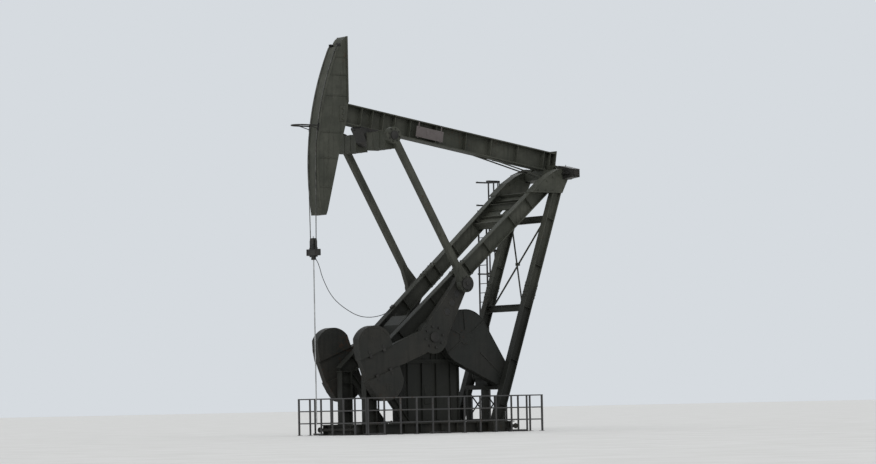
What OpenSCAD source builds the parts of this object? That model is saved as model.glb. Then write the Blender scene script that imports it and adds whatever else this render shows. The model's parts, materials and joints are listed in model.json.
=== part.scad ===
// Front-mounted beam pumping unit: the beam pivots at its rear end on a leaning A-frame,
// the cranks and gearbox stand under its middle, and the horsehead hangs the rod in front.
// Millimetres. +X runs to the rear, -Y is the near side, +Z is up. The origin is on the
// ground, straight below the crankshaft.

/* [Linkage] */
// Height of the crankshaft above the ground
crank_z = 3000; // [2950:10:3200]
// Throw of the crank, shaft to wrist pin
crank_r = 2000; // [1850:10:2050]
// Angle of the crank above the rearward direction, as photographed
crank_rest = 56; // [52:1:58]
// Beam pivot, distance behind the crankshaft
pivot_x = 5456; // [5350:2:5560]
// Beam pivot, height above the ground
pivot_z = 8237; // [8100:1:8400]
// Slope of the beam, as photographed
beam_slope = 9.2; // [8:0.1:10]
// Yoke pin, distance behind the beam's front end
yoke_back = 1000; // [960:5:1080]
// Yoke pin, distance below the pivot in the beam's own frame
yoke_drop = 121; // [100:1:160]
// Rod line, distance in front of the beam pivot
head_r = 9096; // [9050:1:9150]

/* [Beam] */
// Depth of the beam
beam_d = 630; // [580:5:700]
// Width of the beam's flanges
beam_w = 400; // [340:5:440]
// Flange thickness of the beam
beam_tf = 36; // [20:1:50]
// Web thickness of the beam
beam_tw = 20; // [14:1:30]
// Height of the beam's underside over the pivot
beam_seat = 160; // [150:1:180]
// Overhang of the beam behind the pivot
beam_tail = 200; // [120:5:300]
// Distance of the rod line in front of the beam's front end
head_depth = 1016; // [976:4:1096]

/* [Horsehead] */
// Width of the curved face
face_w = 560; // [480:10:640]
// Thickness of the face plate
face_t = 40; // [20:1:60]
// Width of the box behind the face
head_w = 480; // [420:10:540]
// Angle of the face's top above the level of the pivot
head_top = 27.5; // [26:0.5:30]
// Angle of the face's lower end below the level of the pivot
head_low = 9; // [8.5:0.1:10]
// Radius of a bridle wire
wire_r = 16; // [12:1:20]
// Spacing of the two wires on the face
wire_gap = 400; // [300:10:440]

/* [Legs] */
// Depth of the front legs
front_d = 480; // [420:10:520]
// Width of the front legs' flanges
front_w = 250; // [200:10:260]
// Depth of the rear legs
rear_d = 320; // [280:10:360]
// Width of the rear legs' flanges
rear_w = 236; // [200:2:240]
// Thickness of the legs' flanges
leg_tf = 26; // [16:1:36]
// Thickness of the legs' webs
leg_tw = 18; // [12:1:28]
// Half the spacing of the front legs at their foot
front_y_low = 660; // [640:5:680]
// Half the spacing of the front legs at their top
front_y_top = 950; // [930:5:960]
// Half the spacing of the rear legs
rear_y = 1020; // [1015:1:1030]
// Front stand, distance in front of the crankshaft
stand_x = 2110; // [2050:10:2180]
// Height of the front stand's top
stand_z = 2000; // [1900:10:2050]
// Foot of the rear legs, distance behind the crankshaft
rear_foot_x = 2402; // [2380:2:2430]

/* [Base] */
// Height of the skid's beams
skid_h = 330; // [280:10:380]
// Flange width of the skid's beams
skid_w = 250; // [200:10:280]
// Half the spacing of the two runners
skid_y = 750; // [720:5:770]
// Front end of the runners, in front of the crankshaft
skid_front = 2900; // [2700:10:2950]
// Rear end of the runners, behind the crankshaft
skid_rear = 3350; // [3200:10:3450]
// Radius of the anchor bolt holes
anchor_r = 17; // [12:1:22]

/* [Crank] */
// Thickness of a crank
crank_t = 200; // [150:10:220]
// Middle of the crank's thickness from the centreline
crank_y = 1130; // [1125:1:1135]
// Thickness of a counterweight
weight_t = 310; // [240:10:315]
// Outer radius of the counterweights
weight_r = 2900; // [2800:5:2920]
// Radius of a counterweight's rounded body
lobe_r = 680; // [620:10:720]
// Middle of a counterweight, distance from the shaft along the arm
lobe_along = 2240; // [2200:10:2300]
// Middle of a counterweight, distance from the arm's centreline
lobe_across = 520; // [480:10:560]
// Angle by which the counterweights lag the line of the crank
weight_lag = 35; // [30:1:38]
// Radius of the crankshaft
shaft_r = 130; // [100:5:150]

/* [Pitman] */
// Middle of a pitman's thickness from the centreline
pitman_y = 1400; // [1395:1:1420]
// Thickness of a pitman
pitman_t = 180; // [140:5:180]
// Width of a pitman in its plane
pitman_w = 190; // [180:5:240]
// Radius of the bearing housing at its lower end
wrist_r = 270; // [230:5:300]
// Depth of the cross yoke
yoke_d = 540; // [460:10:580]
// Width of the cross yoke
yoke_w = 420; // [340:10:460]

/* [Power] */
// Half the width of the gearbox
gear_half = 480; // [440:5:500]
// Input shaft, distance behind the crankshaft
input_x = 1510; // [1450:5:1550]
// Motor shaft, distance behind the crankshaft
motor_x = 2900; // [2850:5:2950]
// Motor shaft, height
motor_z = 1800; // [1750:5:1850]
// Radius of the belt guard's large end
guard_big = 870; // [820:5:900]
// Radius of the belt guard's small end
guard_small = 350; // [300:5:380]
// Inner face of the belt guard from the centreline
guard_y = 560; // [550:1:570]
// Thickness of the belt guard
guard_t = 290; // [240:5:300]

/* [Guard fence] */
// Height of the fence
fence_h = 1150; // [1050:10:1250]
// Fence panels, half the width of the fenced area
fence_y = 1900; // [1880:10:2000]
// Front panel, distance in front of the crankshaft
fence_front_x = 3050; // [3000:10:3150]
// Rear panel, distance behind the crankshaft
fence_rear_x = 3700; // [3650:10:3750]

/* [Ladder] */
// Ladder, distance behind the crankshaft
ladder_x = 4010; // [3990:5:4050]
// Middle of the ladder from the centreline
ladder_y = 1500; // [1495:5:1520]
// Width of the ladder
ladder_w = 430; // [400:10:460]
// Height of the ladder
ladder_h = 7200; // [7000:10:7400]
// Spacing of the rungs
rung_gap = 300; // [280:5:320]

/* [Hidden] */
$fn = 64;

near = -1;
far = 1;
olive = "#42463a";
dark_olive = "#34382e";
steel = "#6f716c";

// Clearances
run_gap = 0.05;      // a shaft in its bearing
seat_gap = 0.2;      // a shaft in the hub that it turns with
touch_gap = 0.3;     // a piece seated beside another body

// Linkage points in the plane of the beam
beam_len = head_r - head_depth;      // length of the beam in front of the pivot
yoke_u = beam_len - yoke_back;       // yoke pin, distance along the beam from the pivot
pivot = [pivot_x, 0, pivot_z];
shaft = [0, 0, crank_z];
wrist = shaft + crank_r * [cos(crank_rest), 0, sin(crank_rest)];
yoke_pin = pivot + [-yoke_u * cos(beam_slope) - yoke_drop * sin(beam_slope), 0,
    yoke_u * sin(beam_slope) - yoke_drop * cos(beam_slope)];
pitman_len = norm(wrist - yoke_pin);
pitman_angle = atan2(wrist.z - yoke_pin.z, wrist.x - yoke_pin.x);
rod_x = pivot_x - head_r;
face_r = head_r - wire_r - touch_gap;

// Legs
saddle_shaft_r = 110;
head_z = pivot_z - 620;          // underside of the leg heads
bearing_in = 900;
bearing_out = 1650;
front_foot = [-stand_x, 0, stand_z];
front_run = pivot_x - 320 + stand_x;   // front leg axis, from the stand to the pivot's height
front_rise = pivot_z - stand_z;
rear_run = pivot_x - 168 - rear_foot_x;  // rear leg axis, from the ground to the pivot's height

// Parts in the beam's own frame: the pivot is the origin and the beam runs to -X
module on_beam() {
    translate(pivot) rotate([0, beam_slope, 0]) children();
}

// A shape drawn in the plane of the beam, as thick as from y0 to y1
module plate_xz(y0, y1) {
    translate([0, y1, 0]) rotate([90, 0, 0]) linear_extrude(y1 - y0) children();
}

// A shape drawn across the unit (Y to the right, Z up), as thick as from x0 to x1
module plate_yz(x0, x1) {
    translate([x0, 0, 0]) rotate([90, 0, 90]) linear_extrude(x1 - x0) children();
}

// Children that run along +X are turned to run from p towards q
module along(p, q) {
    v = q - p;
    translate(p) rotate([0, -asin(v.z / norm(v)), atan2(v.y, v.x)]) children();
}

// Round bar from p to q
module bar(p, q, r) {
    along(p, q) rotate([0, 90, 0]) cylinder(r = r, h = norm(q - p), $fn = 24);
}

// Outline of a wide-flange beam, centred
module i_outline(d, b, tf, tw) {
    polygon([[-b / 2, -d / 2], [b / 2, -d / 2], [b / 2, -d / 2 + tf], [tw / 2, -d / 2 + tf],
        [tw / 2, d / 2 - tf], [b / 2, d / 2 - tf], [b / 2, d / 2], [-b / 2, d / 2],
        [-b / 2, d / 2 - tf], [-tw / 2, d / 2 - tf], [-tw / 2, -d / 2 + tf], [-b / 2, -d / 2 + tf]]);
}

// Wide-flange beam along +X from x0 to x1
module i_beam(x0, x1, d, b, tf, tw) {
    plate_yz(x0, x1) i_outline(d, b, tf, tw);
}

// Two circles and the straight lines that wrap them
module belt_outline(p, rp, q, rq) {
    v = q - p;
    turn = atan2(v.y, v.x);
    lean = acos((rp - rq) / norm(v));
    up = [cos(turn + lean), sin(turn + lean)];
    down = [cos(turn - lean), sin(turn - lean)];
    translate(p) circle(r = rp);
    translate(q) circle(r = rq);
    polygon([p + rp * down, q + rq * down, q + rq * up, p + rp * up]);
}

// Base

module skid_runner(side) {
    color(dark_olive) difference() {
        translate([0, side * skid_y, skid_h / 2])
            i_beam(-skid_front, skid_rear, skid_h, skid_w, 26, 16);
        for (x = [-skid_front + 200, skid_rear - 250])
            translate([x, side * (skid_y + 80), -10]) cylinder(r = anchor_r, h = 60);
    }
}

cross_w = 200;
foot_x = rear_foot_x + rear_run * skid_h / pivot_z;
cross_x = [-skid_front + cross_w / 2, -stand_x, -900, 0, 1100, foot_x, skid_rear - cross_w / 2];

module skid_cross_members() {
    half = skid_y - skid_w / 2;
    outer = rear_y + rear_w / 2 + 25;
    color(dark_olive) {
        for (x = cross_x) translate([x, 0, skid_h / 2]) rotate([0, 0, 90])
            i_beam(-half, half, skid_h, cross_w, 22, 14);
        for (side = [near, far]) translate([foot_x - 230, side > 0 ? skid_y + skid_w / 2 : -outer, 0])
            cube([460, outer - skid_y - skid_w / 2, skid_h]);
    }
}

// Front stand

post_d = 400;
post_w = 250;

module front_post(side) {
    color(olive) translate([-stand_x, side * front_y_low, skid_h]) {
        linear_extrude(stand_z - skid_h) rotate(90) i_outline(post_d, post_w, leg_tf, leg_tw);
        translate([-post_d / 2 - 20, -post_w / 2, 0]) cube([post_d + 40, post_w, 30]);
        translate([-post_d / 2 - 20, -post_w / 2, stand_z - skid_h - 30])
            cube([post_d + 40, post_w, 30]);
    }
}

module stand_braces() {
    brace_low = [-stand_x + 1410, 0, skid_h];
    brace_top = [-stand_x + post_d / 2 + touch_gap, 0, stand_z - 150];
    color(olive) for (side = [near, far]) intersection() {
        along([brace_top.x, side * front_y_low, brace_top.z],
            [brace_low.x, side * front_y_low, brace_low.z])
            i_beam(-400, norm(brace_low - brace_top) + 400, 200, 160, 16, 12);
        translate([brace_top.x, -1000, skid_h])
            cube([3000, 2000, stand_z - 30 - touch_gap - skid_h]);
    }
}

// Legs

cable_box_s = 2700;      // junction box on the far front leg, distance up the leg's axis

function leg_foot(side) = front_foot + [0, side * front_y_low, 0];
function leg_top(side) = front_foot + [front_run, side * front_y_top, front_rise];

module front_leg(side) {
    foot = leg_foot(side);
    top = leg_top(side);
    color(olive) {
        intersection() {
            along(foot, top) i_beam(-900, norm(top - foot) + 900, front_d, front_w, leg_tf, leg_tw);
            translate([-stand_x - post_d / 2 - 20, -2000, stand_z])
                cube([9000, 4000, head_z - stand_z]);
        }
        if (side == far) along(foot, top)
            translate([cable_box_s, -50, front_d / 2 - 1]) cube([140, 100, 61]);
    }
}

module rear_leg(side) {
    foot = [rear_foot_x, side * rear_y, 0];
    top = foot + [rear_run, 0, pivot_z];
    color(olive) intersection() {
        along(foot, top) i_beam(-500, norm(top - foot) + 500, rear_d, rear_w, leg_tf, leg_tw);
        translate([0, -2000, skid_h]) cube([9000, 4000, head_z - skid_h]);
    }
}

head_in = 820;           // leg heads, from the centreline
head_out = 1150;
bearing_seat = 170;      // top of the leg heads below the pivot

module leg_head(side) {
    y0 = side > 0 ? head_in : -head_out;
    color(olive) plate_xz(y0, y0 + head_out - head_in) translate([pivot_x, pivot_z])
        polygon([[-1409, head_z - pivot_z], [-932, -210], [-560, 20], [-280, 144], [-160, 150],
            [-160, -bearing_seat], [60, -bearing_seat], [-180, head_z - pivot_z]]);
}

tie_d = 220;
tie_x = [-stand_x + 610, -stand_x + 5960];    // ties between the front legs
tie_lift = 90;          // of the front ties above the legs' axis
tie_z = [pivot_z - 4300, pivot_z - 1450];     // ties between the rear legs
function rear_leg_x(z) = rear_foot_x + rear_run * z / pivot_z;

module tie(half) {
    rotate([0, 0, 90]) i_beam(-half, half, tie_d, 160, 16, 12);
}

module leg_ties() {
    color(olive) {
        for (x = tie_x) {
            t = (x + stand_x) / front_run;
            leg_y = front_y_low + t * (front_y_top - front_y_low);
            translate([x, 0, front_foot.z + t * front_rise + tie_lift]) tie(leg_y - leg_tw / 2 - 4);
        }
        for (z = tie_z) translate([rear_leg_x(z), 0, z]) tie(rear_y - leg_tw / 2 - touch_gap);
    }
}

module rear_x_brace() {
    low = tie_z[0] + tie_d / 2;
    top = tie_z[1] - tie_d / 2;
    reach = 850;
    width = 44;
    color(olive) for (side = [near, far]) intersection() {
        rod_low = [rear_leg_x(low) + side * 30, side * reach, low - 100];
        rod_top = [rear_leg_x(top) + side * 30, -side * reach, top + 100];
        along(rod_low, rod_top)
            translate([0, -width / 2, -width / 2]) cube([norm(rod_top - rod_low), width, width]);
        translate([0, -1000, low]) cube([6000, 2000, top - low]);
    }
}

// Bearing block that tapers to its outer end, with the saddle shaft's bore
module saddle_bearing(side) {
    half = 150;
    color(dark_olive) translate(pivot) difference() {
        plate_yz(-half, half) polygon([for (p = [[bearing_in, -bearing_seat], [bearing_in, 280],
            [head_out, 240], [bearing_out, 130], [bearing_out, -130], [head_out, -bearing_seat]])
                [side * p.x, p.y]]);
        translate([0, side * (bearing_in + bearing_out) / 2, 0]) rotate([90, 0, 0])
            cylinder(r = saddle_shaft_r + run_gap, h = bearing_out, center = true);
    }
}

// Gearbox and drive

gear_low = 2260;

module gearbox_pedestal() {
    color(olive) {
        translate([-620, -430, skid_h]) cube([2300, 860, 60]);
        translate([-520, -360, skid_h]) cube([2100, 720, gear_low - skid_h]);
        translate([-620, -430, gear_low - 60]) cube([2300, 860, 60]);
    }
}

module gearbox() {
    color(olive) difference() {
        union() {
            plate_xz(-gear_half + 60, gear_half - 60)
                polygon([[-760, gear_low], [1980, gear_low], [1980, 3350], [1700, 3560],
                    [700, 3560], [300, 3700], [-420, 3700], [-760, 3400]]);
            plate_xz(-gear_half, gear_half) translate([-820, 2950]) square([2860, 100]);
            translate([0, -gear_half - 90, crank_z]) rotate([-90, 0, 0])
                cylinder(r = 330, h = 2 * gear_half + 180);
            translate([860, -gear_half, crank_z]) rotate([-90, 0, 0])
                cylinder(r = 220, h = 2 * gear_half);
            translate([input_x, -gear_half, crank_z]) rotate([-90, 0, 0])
                cylinder(r = 160, h = 2 * gear_half);
            translate([input_x, -guard_y - guard_t + 20, crank_z]) rotate([-90, 0, 0])
                cylinder(r = 60, h = guard_t + 200);
        }
        translate([0, -gear_half - 100, crank_z]) rotate([-90, 0, 0])
            cylinder(r = shaft_r + run_gap, h = 2 * gear_half + 200);
    }
}

module belt_guard() {
    input = [input_x, crank_z];
    sheave = [motor_x, motor_z];
    wall = 8;
    color(dark_olive) {
        difference() {
            plate_xz(-guard_y - guard_t, -guard_y)
                belt_outline(input, guard_big, sheave, guard_small);
            plate_xz(-guard_y - guard_t + wall, -guard_y - wall)
                belt_outline(input, guard_big - wall, sheave, guard_small - wall);
            translate([input_x, -guard_y - guard_t / 2, crank_z]) rotate([90, 0, 0])
                cylinder(r = 110, h = guard_t);
            translate([input_x, -guard_y - 50, crank_z]) rotate([-90, 0, 0])
                cylinder(r = 61, h = 100);
            translate([motor_x, -guard_y - 50, motor_z]) rotate([-90, 0, 0])
                cylinder(r = 41, h = 100);
        }
        for (x = [input_x - 600, input_x + 300])
            translate([x, -guard_y, crank_z - 550]) cube([80, guard_y - gear_half + 60, 80]);
    }
}

module motor() {
    color(steel) translate([motor_x, 0, motor_z]) {
        translate([0, -440, 0]) rotate([-90, 0, 0]) cylinder(r = 270, h = 780);
        translate([0, -640, 0]) rotate([-90, 0, 0]) cylinder(r = 40, h = 300);
        translate([0, 339, 0]) rotate([-90, 0, 0]) cylinder(r = 230, h = 90);
        translate([-230, -380, -340]) cube([460, 640, 200]);
    }
}

module motor_platform() {
    deck = motor_z - 340;
    leg = 120;
    color(olive) {
        translate([motor_x - 420, -480, deck - 120]) cube([840, 1000, 120]);
        for (y = [-460, 380]) {
            for (x = [foot_x - 60, skid_rear - cross_w / 2 - 60])
                translate([x, y, skid_h]) cube([leg, leg, deck - 119 - skid_h]);
            translate([foot_x - 60, y, skid_h]) cube([skid_rear - cross_w / 2 - foot_x, leg, 80]);
        }
    }
}

// Ladder on the far side

cage_low = pivot_z - 3137;

module ladder() {
    rail = 60;
    inner = ladder_w / 2;
    color(steel) {
        for (side = [near, far])
            translate([ladder_x - 30, ladder_y + side * inner - 8, 0]) cube([rail, 16, ladder_h]);
        for (z = [rung_gap : rung_gap : ladder_h - 100])
            translate([ladder_x, ladder_y - inner, z]) rotate([-90, 0, 0])
                cylinder(r = 13, h = ladder_w, $fn = 12);
        for (z = [cage_low - 100, tie_z[1]]) {
            start = min(ladder_x - 30, rear_leg_x(z) - 240);
            side_y = rear_y + rear_w / 2 + touch_gap;
            translate([start, side_y, z]) cube([rear_leg_x(z) + 260 - start, 30, 60]);
            translate([ladder_x - 30, side_y, z]) cube([60, ladder_y - inner - side_y, 60]);
        }
    }
}

cage_r = 340;

cage_x = ladder_x - 10 + cage_r;     // middle of the cage, which hangs on the ladder's rear side

// Plan of one hoop: a half circle on two straight sides that turn in to the rails
module hoop() {
    strip = 8;
    front_x = ladder_x + 30;
    difference() {
        union() {
            translate([cage_x, ladder_y]) circle(r = cage_r);
            translate([front_x - strip, ladder_y - cage_r]) square([cage_x - front_x + strip, 2 * cage_r]);
        }
        translate([cage_x, ladder_y]) circle(r = cage_r - strip);
        translate([front_x, ladder_y - cage_r + strip])
            square([cage_x - front_x, 2 * (cage_r - strip)]);
        translate([front_x - cage_r + 1, ladder_y - ladder_w / 2 - 8 - touch_gap])
            square([cage_r, ladder_w + 16 + 2 * touch_gap]);
        translate([front_x - 2 * cage_r - strip, ladder_y - cage_r - 10])
            square([2 * cage_r, 2 * cage_r + 20]);
    }
}

module ladder_cage() {
    hoops = [for (z = [cage_low : 750 : ladder_h + 1000]) z];   // the cage stands above the top rung
    height = hoops[len(hoops) - 1] - cage_low + 50;
    color(steel) {
        for (z = hoops) translate([0, 0, z]) linear_extrude(50) hoop();
        for (a = [-60 : 30 : 60]) translate([cage_x, ladder_y, cage_low]) rotate(a)
            translate([cage_r - 14, -25, 0]) cube([10, 50, height]);
    }
}

// Guard fence

fence_post = 44;

// Panel along +X from 0 to l with its posts and rails
module fence_panel(l) {
    rail = 36;
    bays = round(l / 600);
    for (i = [0 : bays]) translate([i * (l - fence_post) / bays, -fence_post / 2, 0])
        cube([fence_post, fence_post, fence_h - 10]);
    for (i = [0 : 2]) translate([0, -rail / 2, fence_h - rail - i * 380]) cube([l, rail, rail]);
}

fence_len = fence_front_x + fence_rear_x;

module fence_side(side) {
    color(olive) {
        translate([-fence_front_x, side * fence_y, 0]) fence_panel(fence_len);
        for (x = [-2500, 0, 3000]) {
            y0 = side > 0 ? skid_y + skid_w / 2 : -fence_y;
            translate([x, y0, 0]) cube([80, fence_y - skid_y - skid_w / 2, 60]);
        }
    }
}

module fence_end(x) {
    color(olive) translate([x, -fence_y + fence_post / 2, 0]) rotate(90)
        fence_panel(2 * fence_y - fence_post);
}

// Beam and what rides on it

module walking_beam() {
    stiffener_x = [-beam_len + 12, -yoke_u - 420, -yoke_u, -yoke_u + 420, -4600, -2400, -250, 0];
    color(olive) on_beam() translate([0, 0, beam_seat + beam_d / 2]) {
        i_beam(-beam_len, beam_tail, beam_d, beam_w, beam_tf, beam_tw);
        for (x = stiffener_x) translate([x - 10, -beam_w / 2 + 10, -beam_d / 2 + 1])
            cube([20, beam_w - 20, beam_d - 2]);
        translate([beam_tail - 1, -beam_w / 2 - 20, -beam_d / 2]) cube([30, beam_w + 40, beam_d + 70]);
    }
}

// Rear outline of the horsehead, from the pivot, as photographed
function in_world(u, up) = [-u * cos(beam_slope) + up * sin(beam_slope),
    u * sin(beam_slope) + up * cos(beam_slope)];
end_low = in_world(beam_len + touch_gap, beam_seat);
end_high = in_world(beam_len + touch_gap, beam_seat + beam_d);
head_top_z = face_r * sin(head_top);
head_low_z = -face_r * sin(head_low);

module head_outline(r) {
    intersection() {
        circle(r = r, $fn = 256);
        difference() {
            polygon([[-r - 100, head_top_z], [end_high.x, head_top_z], end_high, end_low,
                [end_low.x - 263, end_low.y - 890], [end_low.x - 740, head_low_z + 150],
                [end_low.x - 800, head_low_z], [-r - 100, head_low_z]]);
            translate([-r * cos(head_top) - 60, head_top_z - 360]) difference() {
                translate([-500, 0]) square([500 + 360, 500]);
                translate([360, 0]) circle(r = 360);
                translate([360, -1]) square([200, 362]);
            }
        }
    }
}

module horsehead() {
    color(olive) translate(pivot) {
        plate_xz(-head_w / 2, head_w / 2) head_outline(face_r - face_t / 2);
        plate_xz(-face_w / 2, face_w / 2) difference() {
            head_outline(face_r);
            circle(r = face_r - face_t, $fn = 256);
        }
    }
}

module wireline_keeper() {
    level = asin(1350 / face_r);
    reach = 820;
    seat = face_r + touch_gap;
    tip = [-seat - reach * cos(level), 0, -reach * sin(level)];
    color(steel) translate(pivot) rotate([0, level, 0]) {
        for (side = [near, far]) {
            bar([-seat - 6, side * 250, 0], tip, 16);
            translate([-seat - 12, side * 250 - 30, -60]) cube([12, 60, 120]);
        }
        translate(tip) sphere(r = 17);
    }
}

// Block across the shaft, with a gusset on each side of the beam
module saddle() {
    half = 200;
    out = head_in - 20;
    color(olive) on_beam() difference() {
        union() {
            plate_yz(-half, half)
                polygon([[-out, -150], [-out, 100], [-300, beam_seat], [300, beam_seat], [out, 100], [out, -150]]);
            for (side = [near, far]) plate_yz(-60, 60) difference() {
                polygon([for (p = [[beam_w / 2 + 10, beam_seat - 60], [beam_w / 2 + 10, 320], [560, 320],
                    [out, 250], [out, 0]]) [side * p.x, p.y]]);
                polygon([for (p = [[430, 170], [700, 170], [560, 270]]) [side * p.x, p.y]]);
            }
        }
        translate([0, -1200, 0]) rotate([-90, 0, 0])
            cylinder(r = saddle_shaft_r + seat_gap, h = 2400);
    }
}

module saddle_shaft() {
    color(steel) translate(pivot) translate([0, -bearing_out + 20, 0]) rotate([-90, 0, 0])
        cylinder(r = saddle_shaft_r, h = 2 * bearing_out - 40);
}

module saddle_straps() {
    color(olive) on_beam() for (side = [near, far]) intersection() {
        along([-260, side * 150, -60], [-2600, side * 150, beam_seat - 10])
            translate([-200, -30, -15]) cube([2900, 60, 30]);
        translate([-2900, -500, -400]) cube([2640, 1000, 400 + beam_seat]);
    }
}

module yoke_bearing() {
    reach = 460;
    color(dark_olive) on_beam() translate([-yoke_u, 0, -yoke_drop]) plate_xz(-280, 280)
        difference() {
            union() {
                circle(r = 250);
                polygon([[-reach, beam_seat + yoke_drop], [-reach, beam_seat + yoke_drop - 60],
                    [-245, -50], [245, -50], [reach, beam_seat + yoke_drop - 60],
                    [reach, beam_seat + yoke_drop]]);
            }
            circle(r = saddle_shaft_r + run_gap);
        }
}

module head_wires() {
    top_angle = head_top - 2;
    color(steel) translate(pivot) for (side = [near, far])
        translate([0, side * wire_gap / 2, 0]) rotate([90, 0, 0]) rotate(180 - top_angle)
            rotate_extrude(angle = top_angle - 0.15, $fn = 360)
                translate([head_r, 0]) circle(r = wire_r, $fn = 24);
}

// Yoke and pitmans

yoke_arm_in = 290;
yoke_sag = 120;          // middle of the yoke's arms below the pin

module cross_yoke() {
    arm_out = pitman_y - pitman_t / 2;
    color(olive) translate(yoke_pin) {
        for (side = [near, far])
            translate([-yoke_w / 2, side > 0 ? yoke_arm_in : -arm_out, -yoke_d / 2 - yoke_sag])
                cube([yoke_w, arm_out - yoke_arm_in, yoke_d]);
        translate([0, -yoke_arm_in - 50, 0]) rotate([-90, 0, 0])
            cylinder(r = saddle_shaft_r, h = 2 * yoke_arm_in + 100);
    }
}

module pitman(side) {
    y0 = side * pitman_y - pitman_t / 2;
    color(olive) translate([yoke_pin.x, 0, yoke_pin.z]) plate_xz(y0, y0 + pitman_t)
        rotate(pitman_angle) {
            translate([0, -pitman_w / 2]) square([pitman_len, pitman_w]);
            circle(r = 260);
            translate([pitman_len, 0]) circle(r = wrist_r);
            polygon([[pitman_len - 700, -pitman_w / 2], [pitman_len, -wrist_r + 30],
                [pitman_len, wrist_r - 30], [pitman_len - 700, pitman_w / 2]]);
        }
}

// Cranks and counterweights

// Plane of the cranks: the shaft is the origin and the wrist lies on +X
module on_crank(y0, y1) {
    translate(shaft) plate_xz(y0, y1) rotate(crank_rest) children();
}

weight_turn = 180 - weight_lag;
arm_half = 350;

module crank_outline() {
    hub_r = 520;
    eye_r = 260;
    circle(r = hub_r);
    translate([crank_r, 0]) circle(r = eye_r);
    polygon([[0, -hub_r + 60], [crank_r, -eye_r + 30], [crank_r, eye_r - 30], [0, hub_r - 60]]);
    rotate(weight_turn) translate([0, -arm_half]) square([weight_r - 20, 2 * arm_half]);
}

module crank(side) {
    y0 = side * crank_y - crank_t / 2;
    boss = 60;
    color(dark_olive) difference() {
        union() {
            on_crank(y0, y0 + crank_t) crank_outline();
            on_crank(side > 0 ? y0 + crank_t - 1 : y0 - boss, side > 0 ? y0 + crank_t + boss : y0 + 1)
                translate([crank_r, 0]) circle(r = 140);
        }
        translate([0, y0 - 100, crank_z]) rotate([-90, 0, 0])
            cylinder(r = shaft_r + seat_gap, h = crank_t + 200);
    }
}

// A rounded body on each side of the arm, cut off by the circle that the crank's end sweeps
module counterweight(side) {
    y0 = side * crank_y - weight_t / 2;
    neck = lobe_r - 40;
    color(dark_olive) on_crank(y0, y0 + weight_t) rotate(weight_turn)
        for (edge = [near, far]) intersection() {
            circle(r = weight_r, $fn = 360);
            translate([lobe_along - neck, edge > 0 ? arm_half : -lobe_across - lobe_r])
                square([2 * neck + 200, lobe_across + lobe_r - arm_half]);
            union() {
                translate([lobe_along, edge * lobe_across]) circle(r = lobe_r);
                translate([lobe_along - neck, edge > 0 ? arm_half : -lobe_across])
                    square([2 * neck, lobe_across - arm_half]);
            }
        }
}

module crankshaft() {
    end = crank_y + crank_t / 2 + 40;
    color(steel) translate([0, -end, crank_z]) rotate([-90, 0, 0])
        cylinder(r = shaft_r, h = 2 * end);
}

// Rod and its hanger

bar_low = 5560;
bar_h = 200;
bar_half = 260;
bar_top = bar_low + bar_h;
rod_r = 19;
rod_end_r = 18;          // turned end of the rod, in the hanger
rod_end_low = bar_low - 200;
clamp_h = 340;

module bridle_wires() {
    start = bar_top + 120;
    color(steel) for (side = [near, far]) {
        bar([rod_x, side * 150, start], [rod_x, side * wire_gap / 2, pivot_z], wire_r);
        translate([rod_x, side * 150, bar_top + touch_gap]) cylinder(r = 34, h = 300);
    }
}

module carrier_bar() {
    color(dark_olive) difference() {
        union() {
            translate([rod_x - 90, -bar_half, bar_low]) cube([180, 2 * bar_half, bar_h]);
            translate([rod_x, 0, bar_low - 130]) cylinder(r = 75, h = 140);
            translate([rod_x, bar_half - 1, bar_low + 80]) rotate([-90, 0, 0]) cylinder(r = 22, h = 51);
        }
        translate([rod_x, 0, bar_low - 200]) cylinder(r = rod_end_r + seat_gap, h = bar_h + 300);
    }
}

module rod_clamp() {
    color(steel) difference() {
        union() {
            translate([rod_x, 0, bar_top]) cylinder(r = 70, h = 140);
            translate([rod_x - 60, -85, bar_top + 140]) cube([120, 170, clamp_h - 140]);
        }
        translate([rod_x, 0, bar_low]) cylinder(r = rod_end_r + seat_gap, h = 2 * clamp_h + bar_h);
    }
}

module polished_rod() {
    low = 350;
    color("silver") translate([rod_x, 0, low]) {
        cylinder(r = rod_r, h = rod_end_low - low);
        cylinder(r = rod_end_r, h = bar_top + clamp_h + 60 - low);
    }
}

// Load cell cable, from the hanger to the far front leg

cable_d = 22;
cable_exit = [rod_x, bar_half + 50.8, bar_low + 80];

// Point on top of the far front leg, s up along its axis
function on_far_leg(s) = let (v = leg_top(far) - leg_foot(far), level = norm([v.x, v.y]),
    out = [-v.z * v.x / level, -v.z * v.y / level, level] / norm(v))
    leg_foot(far) + s * v / norm(v) + (front_d / 2 + cable_d / 2 + 1.5) * out;

cable_points = [cable_exit, cable_exit + [0, 20, 0], cable_exit + [8, 45, -6], [-3560, 385, 5612],
    [-3440, 392, 5570], [-3330, 385, 5500], [-3250, 375, 5390], [-3170, 372, 5200],
    [-3105, 376, 5000], [-3003, 385, 4780], [-2820, 405, 4480],
    [-2600, 435, 4240], [-2330, 480, 4050], [-2050, 520, 3900],
    [-1750, 560, 3770], [-1440, 602, 3695], [-1120, 644, 3678], [-860, 676, 3702],
    [-640, 700, 3745], [-475, 716, 3800], [-370, 727, 3850],
    on_far_leg(cable_box_s - 70), on_far_leg(cable_box_s - touch_gap)];

module load_cell_cable() {
    color("#1e1e1e") tube(smooth(cable_points, 5), cable_d / 2, 8);
}

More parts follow.
